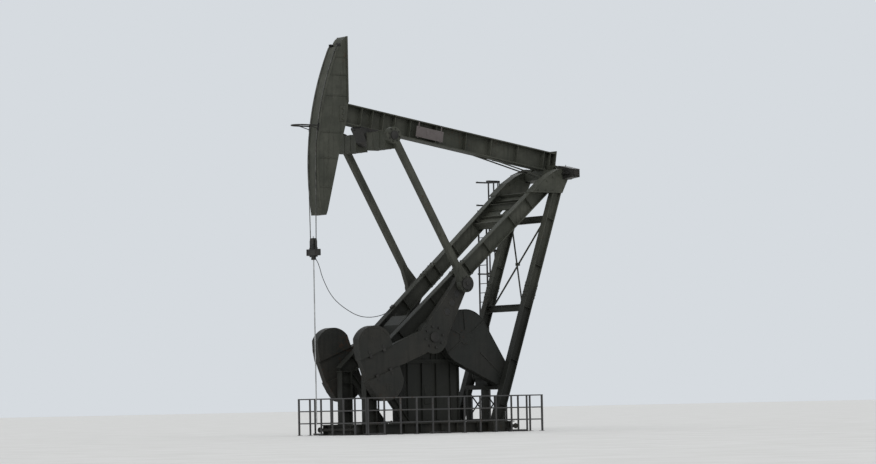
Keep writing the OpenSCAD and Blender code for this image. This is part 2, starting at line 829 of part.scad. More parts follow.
// Points of a smooth curve through pts, n to a span
function smooth(pts, n) = concat([for (i = [0 : len(pts) - 2], k = [0 : n - 1])
    spline_point(pts[max(i - 1, 0)], pts[i], pts[i + 1], pts[min(i + 2, len(pts) - 1)], k / n)],
    [pts[len(pts) - 1]]);
function spline_point(a, b, c, d, t) = 0.5 * (2 * b + (c - a) * t + (2 * a - 5 * b + 4 * c - d) * t * t
    + (3 * b - a - 3 * c + d) * t * t * t);
function unit(v) = v / norm(v);

// Tube of radius r with n sides along a path
module tube(path, r, n) {
    last = len(path) - 1;
    dirs = [for (i = [0 : last]) unit(path[min(i + 1, last)] - path[max(i - 1, 0)])];
    rings = [for (i = [0 : last]) let (d = dirs[i], s = unit(cross(d, [0, 0.3, 1])), u = cross(s, d))
        for (k = [0 : n - 1]) path[i] + r * (cos(360 * k / n) * s + sin(360 * k / n) * u)];
    sides = [for (i = [0 : last - 1], k = [0 : n - 1])
        [i * n + k, i * n + (k + 1) % n, (i + 1) * n + (k + 1) % n, (i + 1) * n + k]];
    ends = [[for (k = [n - 1 : -1 : 0]) k], [for (k = [0 : n - 1]) last * n + k]];
    polyhedron(points = rings, faces = concat(sides, ends), convexity = 10);
}

skid_runner(near);  // skid_runner_near
skid_runner(far);  // skid_runner_far
skid_cross_members();
front_post(near);  // front_post_near
front_post(far);  // front_post_far
stand_braces();
front_leg(near);  // front_leg_near
front_leg(far);  // front_leg_far
rear_leg(near);  // rear_leg_near
rear_leg(far);  // rear_leg_far
leg_head(near);  // leg_head_near
leg_head(far);  // leg_head_far
leg_ties();
rear_x_brace();
saddle_bearing(near);  // saddle_bearing_near
saddle_bearing(far);  // saddle_bearing_far
gearbox_pedestal();
gearbox();
belt_guard();
motor();
motor_platform();
ladder();
ladder_cage();
fence_end(-fence_front_x);  // fence_front
fence_end(fence_rear_x);  // fence_rear
fence_side(near);  // fence_near
fence_side(far);  // fence_far
load_cell_cable();
walking_beam();
horsehead();
wireline_keeper();
saddle();
saddle_shaft();
saddle_straps();
yoke_bearing();
head_wires();
cross_yoke();
pitman(near);  // pitman_near
pitman(far);  // pitman_far
crankshaft();
crank(near);  // crank_near
crank(far);  // crank_far
counterweight(near);  // counterweight_near
counterweight(far);  // counterweight_far
bridle_wires();
carrier_bar();
rod_clamp();
polished_rod();
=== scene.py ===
"""Looks of a front-mounted beam pumping unit: weathered paint, wire ropes, bolts, welds and fittings.

Metres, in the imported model's frame: +X to the rear, +Y to the far side, +Z up.
"""
import json
import math
from itertools import accumulate

import bmesh
import bpy
from mathutils import Matrix, Vector


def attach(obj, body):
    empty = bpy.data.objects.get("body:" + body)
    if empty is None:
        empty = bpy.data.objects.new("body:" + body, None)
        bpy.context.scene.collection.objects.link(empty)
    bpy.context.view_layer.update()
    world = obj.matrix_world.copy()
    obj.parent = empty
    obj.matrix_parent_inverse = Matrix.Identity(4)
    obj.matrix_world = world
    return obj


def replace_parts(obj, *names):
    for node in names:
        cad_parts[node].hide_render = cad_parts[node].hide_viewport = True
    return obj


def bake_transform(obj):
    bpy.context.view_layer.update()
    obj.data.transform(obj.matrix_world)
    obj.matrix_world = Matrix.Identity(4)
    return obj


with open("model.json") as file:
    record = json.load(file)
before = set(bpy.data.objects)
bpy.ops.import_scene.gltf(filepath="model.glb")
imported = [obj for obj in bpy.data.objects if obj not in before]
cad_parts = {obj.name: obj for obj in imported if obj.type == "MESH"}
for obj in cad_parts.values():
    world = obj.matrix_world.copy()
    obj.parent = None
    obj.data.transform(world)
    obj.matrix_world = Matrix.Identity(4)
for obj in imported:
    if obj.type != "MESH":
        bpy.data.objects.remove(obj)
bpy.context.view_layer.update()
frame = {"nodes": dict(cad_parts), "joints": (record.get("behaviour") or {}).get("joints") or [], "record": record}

SIDES = NEAR, FAR = -1, 1
SIDE_WORDS = ((NEAR, "near"), (FAR, "far"))
WORLD = Matrix.Identity(4)
moved = Matrix.Translation    # gives a frame at a point, with nothing turned


def joint_point(name):
    """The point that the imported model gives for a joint."""
    return Vector(next(joint["pos_m"] for joint in frame["joints"] if joint["name"] == name))


def direction(degrees):
    """Unit vector in the plane of the beam, that many degrees above the rearward direction."""
    a = math.radians(degrees)
    return Vector((math.cos(a), 0, math.sin(a)))


def arc(centre, r, first=0, last=360, steps=32):
    """Points round a centre in the plane of the beam, from one angle to another."""
    return [Vector(centre) + r * direction(first + (last - first) * k / steps) for k in range(steps + 1)]


def turned(point, degrees):
    """A frame at that point, turned about +Y."""
    return moved(point) @ Matrix.Rotation(math.radians(degrees), 4, "Y")


def along(p, q):
    """A frame at p whose +X runs towards q."""
    v = Vector(q) - Vector(p)
    return (moved(p) @ Matrix.Rotation(math.atan2(v.y, v.x), 4, "Z")
            @ Matrix.Rotation(-math.asin(v.z / v.length), 4, "Y"))


# Linkage
PIVOT, SHAFT, YOKE_PIN = (joint_point(name) for name in ("beam_rock", "crank_turn", "pitman_swing"))
CRANK_R = 2.0
CRANK_REST = 56.0             # degrees above the rearward direction
BEAM_SLOPE = 9.2              # degrees
WEIGHT_LAG = 35.0             # degrees from the line of the crank to the middle of its weights
WRIST = SHAFT + CRANK_R * direction(CRANK_REST)
BEAM = turned(PIVOT, BEAM_SLOPE)
CRANK = turned(SHAFT, -CRANK_REST)
WEIGHTS = turned(SHAFT, WEIGHT_LAG - CRANK_REST - 180)

# Horsehead, ropes and hanger
HEAD_R = 9.096                # arc of the ropes on the face
ROPE_R = 0.016
FACE_R = HEAD_R - ROPE_R - 0.0003
FACE_HALF, HEAD_HALF = 0.28, 0.24
ROPE_TOP = 25.5               # degrees above the pivot's level at which the ropes end on the face
ROPE_Y, SOCKET_Y = 0.2, 0.15  # the two ropes from the centreline, on the face and at the carrier bar
ROD_X = -3.64
BAR_LOW, BAR_H = 5.56, 0.20

# Beam, yoke, pitmans and cranks; D is a depth, W a width, H a height, TF a flange's and TW a web's
# thickness
BEAM_D, BEAM_TF, BEAM_SEAT, BEAM_LEN, BEAM_TAIL = 0.63, 0.036, 0.16, 8.08, 0.2
YOKE_D, YOKE_W, YOKE_SAG = 0.54, 0.42, 0.12
PITMAN_OUT = 1.49             # outer faces of the pitmans, from the centreline
CRANK_OUT = 1.23              # outer faces of the cranks
WEIGHT_OUT = 1.285            # outer faces of the counterweights

# Legs, stand and skid
FRONT_D, FRONT_W, REAR_D, REAR_W, LEG_TF, LEG_TW = 0.48, 0.25, 0.32, 0.236, 0.026, 0.018
FRONT_Y_LOW, FRONT_Y_TOP, REAR_Y = 0.66, 0.95, 1.02
STAND_X, STAND_Z, SKID_H, SKID_Y = -2.11, 2.0, 0.33, 0.75
SKID_TF, SKID_TW, SKID_W = 0.026, 0.016, 0.25
REAR_FOOT_X = 2.402
FRONT_TIES = (STAND_X + 0.61, STAND_X + 5.96)
REAR_TIES = (PIVOT.z - 4.3, PIVOT.z - 1.45)

# Drive, ladder and fence
GEAR_HALF, GEAR_LOW = 0.48, 2.26
INPUT_X = 1.51
MOTOR_X, MOTOR_Z = 2.9, 1.8
GUARD_BIG, GUARD_SMALL, GUARD_IN, GUARD_OUT = 0.87, 0.35, -0.56, -0.85
LADDER_X, LADDER_Y, LADDER_W = 4.01, 1.5, 0.43
FENCE_FRONT, FENCE_REAR, FENCE_Y, FENCE_H, FENCE_POST = -3.05, 3.7, 1.9, 1.15, 0.044


def front_leg_line(side):
    """Foot and top of a front leg's axis."""
    return (Vector((STAND_X, side * FRONT_Y_LOW, STAND_Z)),
            Vector((PIVOT.x - 0.32, side * FRONT_Y_TOP, PIVOT.z)))


def rear_leg_line(side):
    """Foot and top of a rear leg's axis."""
    return Vector((REAR_FOOT_X, side * REAR_Y, 0)), Vector((PIVOT.x - 0.168, side * REAR_Y, PIVOT.z))


def rear_leg_x(z):
    """X of the rear legs' axes at that height."""
    foot, top = rear_leg_line(FAR)
    return foot.lerp(top, z / PIVOT.z).x


# Camera, at the photograph's viewing angle and scale

PHOTO_WIDTH = 876             # pixels
PHOTO_SCALE = 31.5            # pixels to the metre in the photograph
AZIMUTH, ELEVATION, ROLL = -36.0, -3.0, 1.15
DISTANCE = 105.0
TARGET = Vector((1.126, 0, 6.361))


def add_camera():
    data = bpy.data.cameras.new("camera")
    camera = bpy.data.objects.new("camera", data)
    bpy.context.scene.collection.objects.link(camera)
    a, e = math.radians(AZIMUTH), math.radians(ELEVATION)
    back = Vector((math.sin(a) * math.cos(e), -math.cos(a) * math.cos(e), math.sin(e)))
    turn = (-back).to_track_quat("-Z", "Y").to_matrix() @ Matrix.Rotation(math.radians(-ROLL), 3, "Z")
    camera.matrix_world = moved(TARGET + DISTANCE * back) @ turn.to_4x4()
    data.lens = data.sensor_width * DISTANCE / (PHOTO_WIDTH / PHOTO_SCALE)
    data.clip_end = 3000
    bpy.context.scene.camera = camera


# Materials

RUST_DARK, RUST_LIGHT, RUST_STAIN = "#2f221a", "#4d3627", "#4a3525"
# The last of these three colours is painted shade, a near-black that darkens the lower half of the unit.
WORN_EDGE, DUST, LOW_PAINTED_SHADE = "#5a574d", "#4a463d", "#1b1c1a"
DUST_TOP = 1.6                # height under which dust settles
SHADE_TOP, SHADE_DEPTH = 6.2, 3.0   # height where the painted shade of the lower half begins, and how far under it it is full
PAINT_ROUGHNESS, PAINT_SPECULAR = 0.58, 0.22


def linear(hex_colour):
    """An sRGB colour such as "#42463a" as a linear RGBA tuple."""
    parts = [int(hex_colour[i:i + 2], 16) / 255 for i in (1, 3, 5)]
    return tuple(c / 12.92 if c <= 0.04045 else ((c + 0.055) / 1.055) ** 2.4 for c in parts) + (1.0,)


class Shader:
    """Builds one material's nodes; most methods return the socket that they make."""

    def __init__(self, name):
        self.material = bpy.data.materials.new(name)
        self.material.use_nodes = True
        self.tree = self.material.node_tree
        self.surface = self.tree.nodes["Principled BSDF"]
        self.place = self.tree.nodes.new("ShaderNodeTexCoord").outputs["Object"]

    def node(self, kind, **inputs):
        node = self.tree.nodes.new(kind)
        for key, value in inputs.items():
            self.feed(node.inputs[key.replace("_", " ")], value)
        return node

    def feed(self, socket, value):
        """Links another socket, or sets a plain value or a colour such as "#42463a"."""
        if isinstance(value, bpy.types.NodeSocket):
            self.tree.links.new(value, socket)
        else:
            socket.default_value = linear(value) if isinstance(value, str) else value

    def noise(self, scale, detail=4.0, rough=0.6, stretch=(1, 1, 1), offset=(0, 0, 0)):
        mapping = self.node("ShaderNodeMapping", Vector=self.place, Scale=stretch, Location=offset)
        return self.node("ShaderNodeTexNoise", Vector=mapping.outputs[0], Scale=scale, Detail=detail,
                         Roughness=rough).outputs["Fac"]

    def ramp(self, factor, low, high, top=1.0):
        """0 below low, top above high."""
        node = self.node("ShaderNodeMapRange", Value=factor, From_Min=low, From_Max=high, To_Min=0.0,
                         To_Max=top)
        node.interpolation_type = "SMOOTHSTEP"
        return node.outputs["Result"]

    def math(self, operation, a, b):
        node = self.node("ShaderNodeMath")
        node.operation = operation
        self.feed(node.inputs[0], a)
        self.feed(node.inputs[1], b)
        return node.outputs[0]

    def plus(self, a, b):
        return self.math("ADD", a, b)

    def times(self, a, b):
        return self.math("MULTIPLY", a, b)

    def mix(self, factor, a, b):
        """Colour a where the factor is 0, colour b where it is 1."""
        node = self.node("ShaderNodeMix")
        node.data_type = "RGBA"
        self.feed(node.inputs["Factor"], factor)
        self.feed(node.inputs[6], a)
        self.feed(node.inputs[7], b)
        return node.outputs[2]

    def below(self, height):
        """How far the point is under that height above the ground at rest, in metres."""
        z = self.node("ShaderNodeSeparateXYZ", Vector=self.place).outputs["Z"]
        return self.math("SUBTRACT", height, z)

    def edges(self, radius):
        """About 1 on outside edges, 0 on flats."""
        bevel = self.node("ShaderNodeBevel", Radius=radius)
        bevel.samples = 4
        dot = self.node("ShaderNodeVectorMath")
        dot.operation = "DOT_PRODUCT"
        self.feed(dot.inputs[0], bevel.outputs[0])
        self.feed(dot.inputs[1], self.node("ShaderNodeNewGeometry").outputs["True Normal"])
        return self.ramp(self.math("SUBTRACT", 1.0, dot.outputs["Value"]), 0.03, 0.22)

    def bump(self, factor, strength, distance):
        node = self.node("ShaderNodeBump", Height=factor, Strength=strength, Distance=distance)
        self.feed(self.surface.inputs["Normal"], node.outputs[0])

    def finish(self, colour, roughness, metallic=0.0, specular=0.5):
        """Feeds the surface, and returns the material."""
        self.feed(self.surface.inputs["Base Color"], colour)
        self.feed(self.surface.inputs["Roughness"], roughness)
        self.surface.inputs["Metallic"].default_value = metallic
        self.surface.inputs["Specular IOR Level"].default_value = specular
        return self.material


def weathered_paint(name, paint, faded, grime, rust, dust=0.12, low_shade=0.0):
    """Old oilfield paint.

    Rust and dust are how much of each there is, and the last argument is how strongly painted shade
    darkens the lower half of the unit.
    """
    s = Shader(name)
    # Chalky patches, clouds of grime, and dark runs down the plates
    patches = s.ramp(s.noise(0.8, 5, 0.62), 0.38, 0.66)
    colour = s.mix(patches, paint, faded)
    clouds = s.ramp(s.noise(3.7, 6, 0.65, offset=(7, 2, 4)), 0.42, 0.7, 0.35)
    colour = s.mix(clouds, colour, grime)
    runs = s.ramp(s.noise(1.0, 4, 0.55, stretch=(11, 11, 0.8)), 0.5, 0.72, 0.55)
    colour = s.mix(runs, colour, grime)
    # Spots of rust, and paint worn off the edges
    spots = s.noise(9.0, 8, 0.7, offset=(3, 9, 1))
    broad = s.noise(0.55, 3, 0.5, offset=(1, 5, 8))
    rusty = s.ramp(s.plus(s.times(spots, 0.55), s.times(broad, 0.45)),
                   0.60 - 0.09 * rust, 0.68 - 0.06 * rust, min(1.0, 0.5 + rust))
    worn = s.times(s.edges(0.018), s.ramp(s.noise(5.0, 5, 0.7), 0.44, 0.62))
    rust_colour = s.mix(s.noise(22.0, 5, 0.6), RUST_DARK, RUST_LIGHT)
    colour = s.mix(rusty, colour, rust_colour)
    colour = s.mix(s.times(worn, 0.5), colour, WORN_EDGE)
    # Dust near the ground, and painted shade on the lower half
    low_down = s.ramp(s.below(DUST_TOP), 0.0, DUST_TOP, dust)
    settled = s.times(low_down, s.ramp(s.noise(2.4, 5, 0.6), 0.3, 0.7))
    colour = s.mix(settled, colour, DUST)
    # Painted shade: below a height the paint turns near-black towards the ground.
    if low_shade:
        painted_low_shade = s.ramp(s.below(SHADE_TOP), 0.0, SHADE_DEPTH, low_shade)
        colour = s.mix(painted_low_shade, colour, LOW_PAINTED_SHADE)
    s.bump(s.plus(s.noise(34.0, 4, 0.6), s.times(rusty, 0.6)), 0.25, 0.004)
    roughness = s.plus(s.times(rusty, 0.3), s.plus(PAINT_ROUGHNESS, s.times(patches, 0.12)))
    return s.finish(colour, roughness, specular=PAINT_SPECULAR)


def bare_surface(name, dark, light, roughness, metallic=0.0, grain=60.0, stretch=(1, 1, 1)):
    """Metal or rubber of two tones, with faint rusty stains and a fine grain."""
    s = Shader(name)
    tone = s.ramp(s.noise(4.0, 6, 0.65), 0.35, 0.7)
    colour = s.mix(tone, dark, light)
    stain = s.ramp(s.noise(1.4, 6, 0.7, offset=(4, 4, 4)), 0.55, 0.75, 0.5)
    colour = s.mix(stain, colour, RUST_STAIN)
    s.bump(s.noise(grain, 4, 0.6, stretch=stretch), 0.2, 0.003)
    return s.finish(colour, s.plus(roughness, s.times(tone, 0.12)), metallic)


PAINTS = {
    # The olive paint's lower half is darkened with painted shade.
    "olive_paint": dict(paint="#3e4038", faded="#4d4e46", grime="#2e2f29", rust=0.2, low_shade=0.82),
    # The base paint's near-black is painted shade of the low parts; their real paint is the olive of the rest.
    "base_paint": dict(paint="#222421", faded="#2b2b28", grime="#1a1b18", rust=0.25, dust=0.2),
    # The counterweights' near-black is painted shade of the low, backlit parts; their rust is their own.
    "counterweight_paint": dict(paint="#272825", faded="#302f2b", grime="#1e1f1c", rust=0.35),
    "rail_paint": dict(paint="#424243", faded="#505050", grime="#343433", rust=0.25),
    "motor_paint": dict(paint="#292b27", faded="#353632", grime="#1e1f1c", rust=0.2),
    "plate_paint": dict(paint="#615b5a", faded="#6d6867", grime="#4c4745", rust=0.15),
}
BARE_SURFACES = {
    "dark_steel": dict(dark="#242321", light="#383734", roughness=0.5, metallic=0.5),
    "wire_rope": dict(dark="#4a4a47", light="#777672", roughness=0.45, metallic=0.7),
    "polished_steel": dict(dark="#9c9c9a", light="#c4c4c2", roughness=0.18, metallic=1.0, grain=90.0,
                           stretch=(1, 1, 0.02)),
    "cable_rubber": dict(dark="#191918", light="#242423", roughness=0.6),
    "belt_rubber": dict(dark="#1b1b1a", light="#2a2a28", roughness=0.7),
}


def make_materials():
    made = {name: weathered_paint(name, **look) for name, look in PAINTS.items()}
    made.update({name: bare_surface(name, **look) for name, look in BARE_SURFACES.items()})
    return made


# Mesh building

def frames_along(path, up):
    """Each point of a path with two directions across it, which turn as little as they can."""
    last = len(path) - 1
    for i, p in enumerate(path):
        forward = (path[min(i + 1, last)] - path[max(i - 1, 0)]).normalized()
        side = forward.cross(up).normalized()
        up = side.cross(forward).normalized()
        yield p, side, up


class Piece:
    """One mesh of many small forms, given in the frame named at, which rides on one body."""

    def __init__(self, name, body="frame", material="olive_paint", at=WORLD):
        self.name, self.body, self.material, self.at = name, body, material, at
        self.bm = bmesh.new()

    def block(self, middle, size, bevel=0.0):
        """A box of that size round its middle."""
        made = bmesh.ops.create_cube(self.bm, size=1.0)["verts"]
        matrix = self.at @ moved(middle) @ Matrix.Diagonal((*size, 1))
        bmesh.ops.transform(self.bm, matrix=matrix, verts=made)
        if bevel:
            edges = dict.fromkeys(e for v in made for e in v.link_edges)
            bmesh.ops.bevel(self.bm, geom=list(edges), offset=bevel, segments=2, affect="EDGES",
                            profile=0.6)

    def box(self, corner, opposite, bevel=0.0):
        """A box between two opposite corners."""
        middle = [(a + b) / 2 for a, b in zip(corner, opposite)]
        self.block(middle, [abs(b - a) for a, b in zip(corner, opposite)], bevel)

    def rod(self, p, q, r, sides=24, end_r=None):
        """A round bar from p to q, which tapers where an end radius is given."""
        p, q = Vector(p), Vector(q)
        turn = (q - p).to_track_quat("Z", "Y").to_matrix().to_4x4()
        matrix = self.at @ moved((p + q) / 2) @ turn
        bmesh.ops.create_cone(self.bm, cap_ends=True, segments=sides, radius1=r, radius2=end_r or r,
                              depth=(q - p).length, matrix=matrix)

    def weld(self, p, q, r=0.007):
        """A weld's bead."""
        self.rod(p, q, r, 6)

    def bolt(self, p, normal, across=0.05):
        """Hexagon head on a washer; across is about the head's width over its flats."""
        p, n = Vector(p), Vector(normal).normalized()
        seat = p + n * across * 0.12
        self.rod(p, seat, across * 0.62, 12)
        self.rod(seat, p + n * across * 0.72, across * 0.56, 6)

    def bolts(self, xs, ys, z, up, across):
        """Upright bolts, or with -1 for up hanging ones, at every x with every y."""
        for x in xs:
            for y in ys:
                self.bolt((x, y, z), (0, 0, up), across)

    def bolt_ring(self, centre, side, r, count, across):
        """Bolts round a centre, which face the near or the far side."""
        out = Vector((0, side, 0))
        first = out.orthogonal().normalized()
        second = out.cross(first)
        for k in range(count):
            a = 2 * math.pi * k / count
            self.bolt(Vector(centre) + r * (math.cos(a) * first + math.sin(a) * second), out, across)

    def tube(self, path, r, sides=6):
        """A round tube of radius r along a list of points."""
        angles = [2 * math.pi * k / sides for k in range(sides)]
        rings = [[self.bm.verts.new(self.at @ (p + r * (math.cos(a) * side + math.sin(a) * up)))
                  for a in angles]
                 for p, side, up in frames_along([Vector(p) for p in path], Vector((0.0, 0.31, 0.95)))]
        for a, b in zip(rings, rings[1:]):
            for k in range(sides):
                self.bm.faces.new((a[k], a[(k + 1) % sides], b[(k + 1) % sides], b[k]))
        self.bm.faces.new(rings[0][::-1])
        self.bm.faces.new(rings[-1])

    def plate(self, outline, y, thickness):
        """An outline of (x, z) points, with y in the middle of its thickness."""
        low = [self.bm.verts.new(self.at @ Vector((x, y - thickness / 2, z))) for x, z in outline]
        high = [self.bm.verts.new(self.at @ Vector((x, y + thickness / 2, z))) for x, z in outline]
        self.bm.faces.new(low)
        self.bm.faces.new(high[::-1])
        for k in range(len(outline)):
            j = (k + 1) % len(outline)
            self.bm.faces.new((low[k], high[k], high[j], low[j]))

    def made(self, smooth=35.0):
        """The finished object, riding on its body; edges sharper than smooth stay sharp."""
        bmesh.ops.recalc_face_normals(self.bm, faces=self.bm.faces)
        mesh = bpy.data.meshes.new(self.name)
        self.bm.to_mesh(mesh)
        self.bm.free()
        obj = bpy.data.objects.new(self.name, mesh)
        bpy.context.scene.collection.objects.link(obj)
        mesh.materials.append(MATERIALS[self.material])
        mesh.shade_smooth()
        mesh.set_sharp_from_angle(angle=math.radians(smooth))
        if self.body:
            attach(obj, self.body)
        return obj


def smooth_path(points, steps):
    """Points of a smooth curve through the given ones, with this many steps to a span."""
    pts = [Vector(p) for p in points]
    last = len(pts) - 1
    path = []
    for i in range(last):
        a, b, c, d = pts[max(i - 1, 0)], pts[i], pts[i + 1], pts[min(i + 2, last)]
        for k in range(steps):
            t = k / steps
            path.append(0.5 * (2 * b + (c - a) * t + (2 * a - 5 * b + 4 * c - d) * t * t
                               + (3 * b - a - 3 * c + d) * t ** 3))
    return path + [pts[last]]


# Cord: the load cell's cable, from the carrier bar to the junction box on the far front leg

CABLE_POINTS = [
    (-3.640, 0.3108, 5.640), (-3.640, 0.3308, 5.640), (-3.632, 0.3558, 5.634), (-3.560, 0.385, 5.612),
    (-3.440, 0.392, 5.570), (-3.330, 0.385, 5.500), (-3.250, 0.375, 5.390), (-3.170, 0.372, 5.200),
    (-3.105, 0.376, 5.000), (-3.003, 0.385, 4.780), (-2.820, 0.405, 4.480), (-2.600, 0.435, 4.240),
    (-2.330, 0.480, 4.050), (-2.050, 0.520, 3.900), (-1.750, 0.560, 3.770), (-1.440, 0.602, 3.695),
    (-1.120, 0.644, 3.678), (-0.860, 0.676, 3.702), (-0.640, 0.700, 3.745), (-0.475, 0.716, 3.800),
    (-0.370, 0.727, 3.850), (-0.2821, 0.7332, 3.9064), (-0.2293, 0.7353, 3.9518)]
CABLE_D = 0.022


def load_cell_cable():
    path = smooth_path(CABLE_POINTS, 5)
    piece = Piece("cell_cable", None, "cable_rubber")
    piece.tube(path, CABLE_D / 2, 12)
    cable = piece.made(60)
    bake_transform(cable)
    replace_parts(cable, "load_cell_cable")


# Stage and light

FLOOR_SIZE = 1200
FILL_LEVEL = 0.78
SUN_SIZE = 30                 # degrees
SUNS = (("key", 0.65, (52, 0, -50)), ("back", 0.35, (55, 0, 140)))


def add_floor():
    bpy.ops.mesh.primitive_plane_add(size=FLOOR_SIZE, location=(0, 0, -0.002))
    floor = bpy.context.object
    floor.name = "floor"
    s = Shader("floor")
    tone = s.ramp(s.noise(0.6, 5, 0.6), 0.3, 0.7)
    floor.data.materials.append(s.finish(s.mix(tone, "#cfcfcc", "#d8d8d6"), 0.9))


def add_world():
    """An even fill on the object, and a pale sky where the camera or a reflection sees past it."""
    world = bpy.data.worlds.new("world")
    bpy.context.scene.world = world
    world.use_nodes = True
    nodes, links = world.node_tree.nodes, world.node_tree.links

    def either(a, b):
        node = nodes.new("ShaderNodeMath")
        node.operation = "MAXIMUM"
        links.new(a, node.inputs[0])
        links.new(b, node.inputs[1])
        return node.outputs[0]

    fill = nodes["Background"]
    fill.inputs["Color"].default_value = (0.97, 0.98, 1.0, 1)
    fill.inputs["Strength"].default_value = FILL_LEVEL
    sky = nodes.new("ShaderNodeBackground")
    sky.inputs["Color"].default_value = linear("#d6dbe0")
    ray = nodes.new("ShaderNodeLightPath").outputs
    sees_sky = either(either(ray["Is Camera Ray"], ray["Is Transmission Ray"]), ray["Is Glossy Ray"])
    mix = nodes.new("ShaderNodeMixShader")
    links.new(sees_sky, mix.inputs[0])
    links.new(fill.outputs[0], mix.inputs[1])
    links.new(sky.outputs[0], mix.inputs[2])
    links.new(mix.outputs[0], nodes["World Output"].inputs["Surface"])


def add_sun(name, energy, turn):
    data = bpy.data.lights.new(name, "SUN")
    data.energy = energy
    data.angle = math.radians(SUN_SIZE)
    lamp = bpy.data.objects.new(name, data)
    lamp.rotation_euler = [math.radians(t) for t in turn]
    bpy.context.scene.collection.objects.link(lamp)


def add_stage():
    bpy.context.scene.view_settings.view_transform = "Standard"
    add_floor()
    add_world()
    for sun in SUNS:
        add_sun(*sun)


def dress_cad_nodes():
    slots = {part["node"]: part["material_slot"] for part in frame["record"]["subparts"]}
    for name, obj in frame["nodes"].items():
        obj.data.materials.clear()
        obj.data.materials.append(MATERIALS[slots[name]])


# Wire ropes: six strands twisted round the face of the horsehead and down to the carrier bar

STRANDS = 6
STRAND_OUT, STRAND_R = 0.62, 0.38   # shares of the rope's radius
FALL_TWIST, FACE_TWIST_TURNS = 0.35, 1.5


def rope(name, paths, twist):
    """Strands wound round each path, one turn in each length of twist."""
    piece = Piece(name, None, "wire_rope")
    for path in paths:
        runs = list(accumulate(((b - a).length for a, b in zip(path, path[1:])), initial=0.0))
        for k in range(STRANDS):
            strand = []
            for (p, side, up), run in zip(frames_along(path, Vector((0.0, 1.0, 0.05))), runs):
                a = 2 * math.pi * (k / STRANDS + run / twist)
                strand.append(p + STRAND_OUT * ROPE_R * (math.cos(a) * side + math.sin(a) * up))
            piece.tube(strand, STRAND_R * ROPE_R, 5)
    return piece.made(60)


def on_face(degrees, y=0.0):
    """The point of the ropes' arc that far above the pivot's level."""
    a = math.radians(degrees)
    return PIVOT + Vector((-HEAD_R * math.cos(a), y, HEAD_R * math.sin(a)))


def face_ropes():
    """The ropes on the face, in spans one after another.

    Each span covers the same share of the arc, and is an object of its own.
    """
    spans, steps = 8, 10
    width = ROPE_TOP / spans
    twist = math.radians(width) * HEAD_R / FACE_TWIST_TURNS
    for k in range(spans):
        arcs = [[on_face((k + j / steps) * width, side * ROPE_Y) for j in range(steps + 1)]
                for side in SIDES]
        wound = rope(f"face_ropes_{k + 1}", arcs, twist)
        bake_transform(wound)
        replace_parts(wound, "head_wires")


def hanging_ropes():
    """The ropes' free hang, from the level of the beam's pivot to the sockets on the carrier bar."""
    falls = []
    for side in SIDES:
        top = Vector((ROD_X, side * ROPE_Y, PIVOT.z))
        low = Vector((ROD_X, side * SOCKET_Y, BAR_LOW + BAR_H + 0.05))
        falls.append([top.lerp(low, k / 50) for k in range(51)])
    hang = rope("hanging_ropes", falls, FALL_TWIST)
    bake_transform(hang)
    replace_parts(hang, "bridle_wires")


def rope_sockets():
    """A seat, a barrel and a tapered neck on the carrier bar, and a nut under it, for each rope."""
    piece = Piece("rope_sockets", "rod", "dark_steel")
    for side in SIDES:
        piece.at = moved((ROD_X, side * SOCKET_Y, BAR_LOW))
        piece.rod((0, 0, BAR_H), (0, 0, BAR_H + 0.05), 0.046)
        piece.rod((0, 0, BAR_H + 0.05), (0, 0, BAR_H + 0.24), 0.034)
        piece.rod((0, 0, BAR_H + 0.24), (0, 0, BAR_H + 0.33), 0.034, end_r=0.02)
        piece.rod((0, 0, -0.04), (0, 0, 0), 0.044)
    piece.made()


def hanger_details():
    """Load cell, cover plates and clamp bolts of the carrier bar, and the cable's gland."""
    piece = Piece("hanger_fittings", "rod", "dark_steel", moved((ROD_X, 0, BAR_LOW)))
    for z in (-0.125, -0.03):
        piece.rod((0, 0, z), (0, 0, z + 0.025), 0.082)
    for z in (BAR_H + 0.18, BAR_H + 0.26):
        for x in (-0.038, 0.038):
            piece.rod((x, -0.105, z), (x, 0.105, z), 0.012)
            for side in SIDES:
                piece.bolt((x, side * 0.086, z), (0, side, 0), 0.032)
    for side in SIDES:
        piece.block((0, side * 0.24, BAR_H / 2), (0.2, 0.024, BAR_H - 0.02), 0.004)
    piece.block((0, 0, BAR_H - 0.008), (0.2, 0.5, 0.016), 0.003)
    piece.rod((0, 0.272, 0.08), (0, 0.3, 0.08), 0.027, 6)
    piece.made()


def name_plate():
    """A bare plate on the near side of the beam, on two straps."""
    face = -0.212
    plate = Piece("blank_plate", "walking_beam", "plate_paint", BEAM)
    plate.box((-5.39, face, 0.27), (-4.33, -0.2, 0.61), 0.003)
    for x in (-5.3, -4.42):
        plate.box((x - 0.02, -0.2, 0.24), (x + 0.02, -0.19, BEAM_SEAT + BEAM_D - 0.04))
        for z in (0.3, 0.58):
            plate.bolt((x, face, z), (0, -1, 0), 0.022)
    plate.made()


def beam_details():
    """Welds, cross plates, tail lips and pads of the beam, and the yoke bearing's bolts."""
    piece = Piece("beam_fittings", "walking_beam", "olive_paint", BEAM)
    low, top = BEAM_SEAT, BEAM_SEAT + BEAM_D
    for side in SIDES:
        for z in (low + BEAM_TF + 0.003, top - BEAM_TF - 0.003):
            piece.weld((-BEAM_LEN, side * 0.013, z), (BEAM_TAIL, side * 0.013, z), 0.009)
    for x in (-6.2, -5.6, -3.4, -1.3):
        for side in SIDES:
            piece.box((x - 0.008, side * 0.01, low + BEAM_TF), (x + 0.008, side * 0.17, top - BEAM_TF))
    for side in SIDES:
        piece.plate([(-0.02, top), (BEAM_TAIL, top), (BEAM_TAIL, top + 0.06)], side * 0.16, 0.016)
        for x in (-1.9, -2.45):
            piece.block((x, side * 0.15, low - 0.007), (0.28, 0.08, 0.014), 0.003)
    for z, up in ((low + BEAM_TF, 1), (low - 0.062, -1)):
        piece.bolts((-7.50, -6.66), (-0.13, 0.13), z, up, 0.06)
    piece.made()


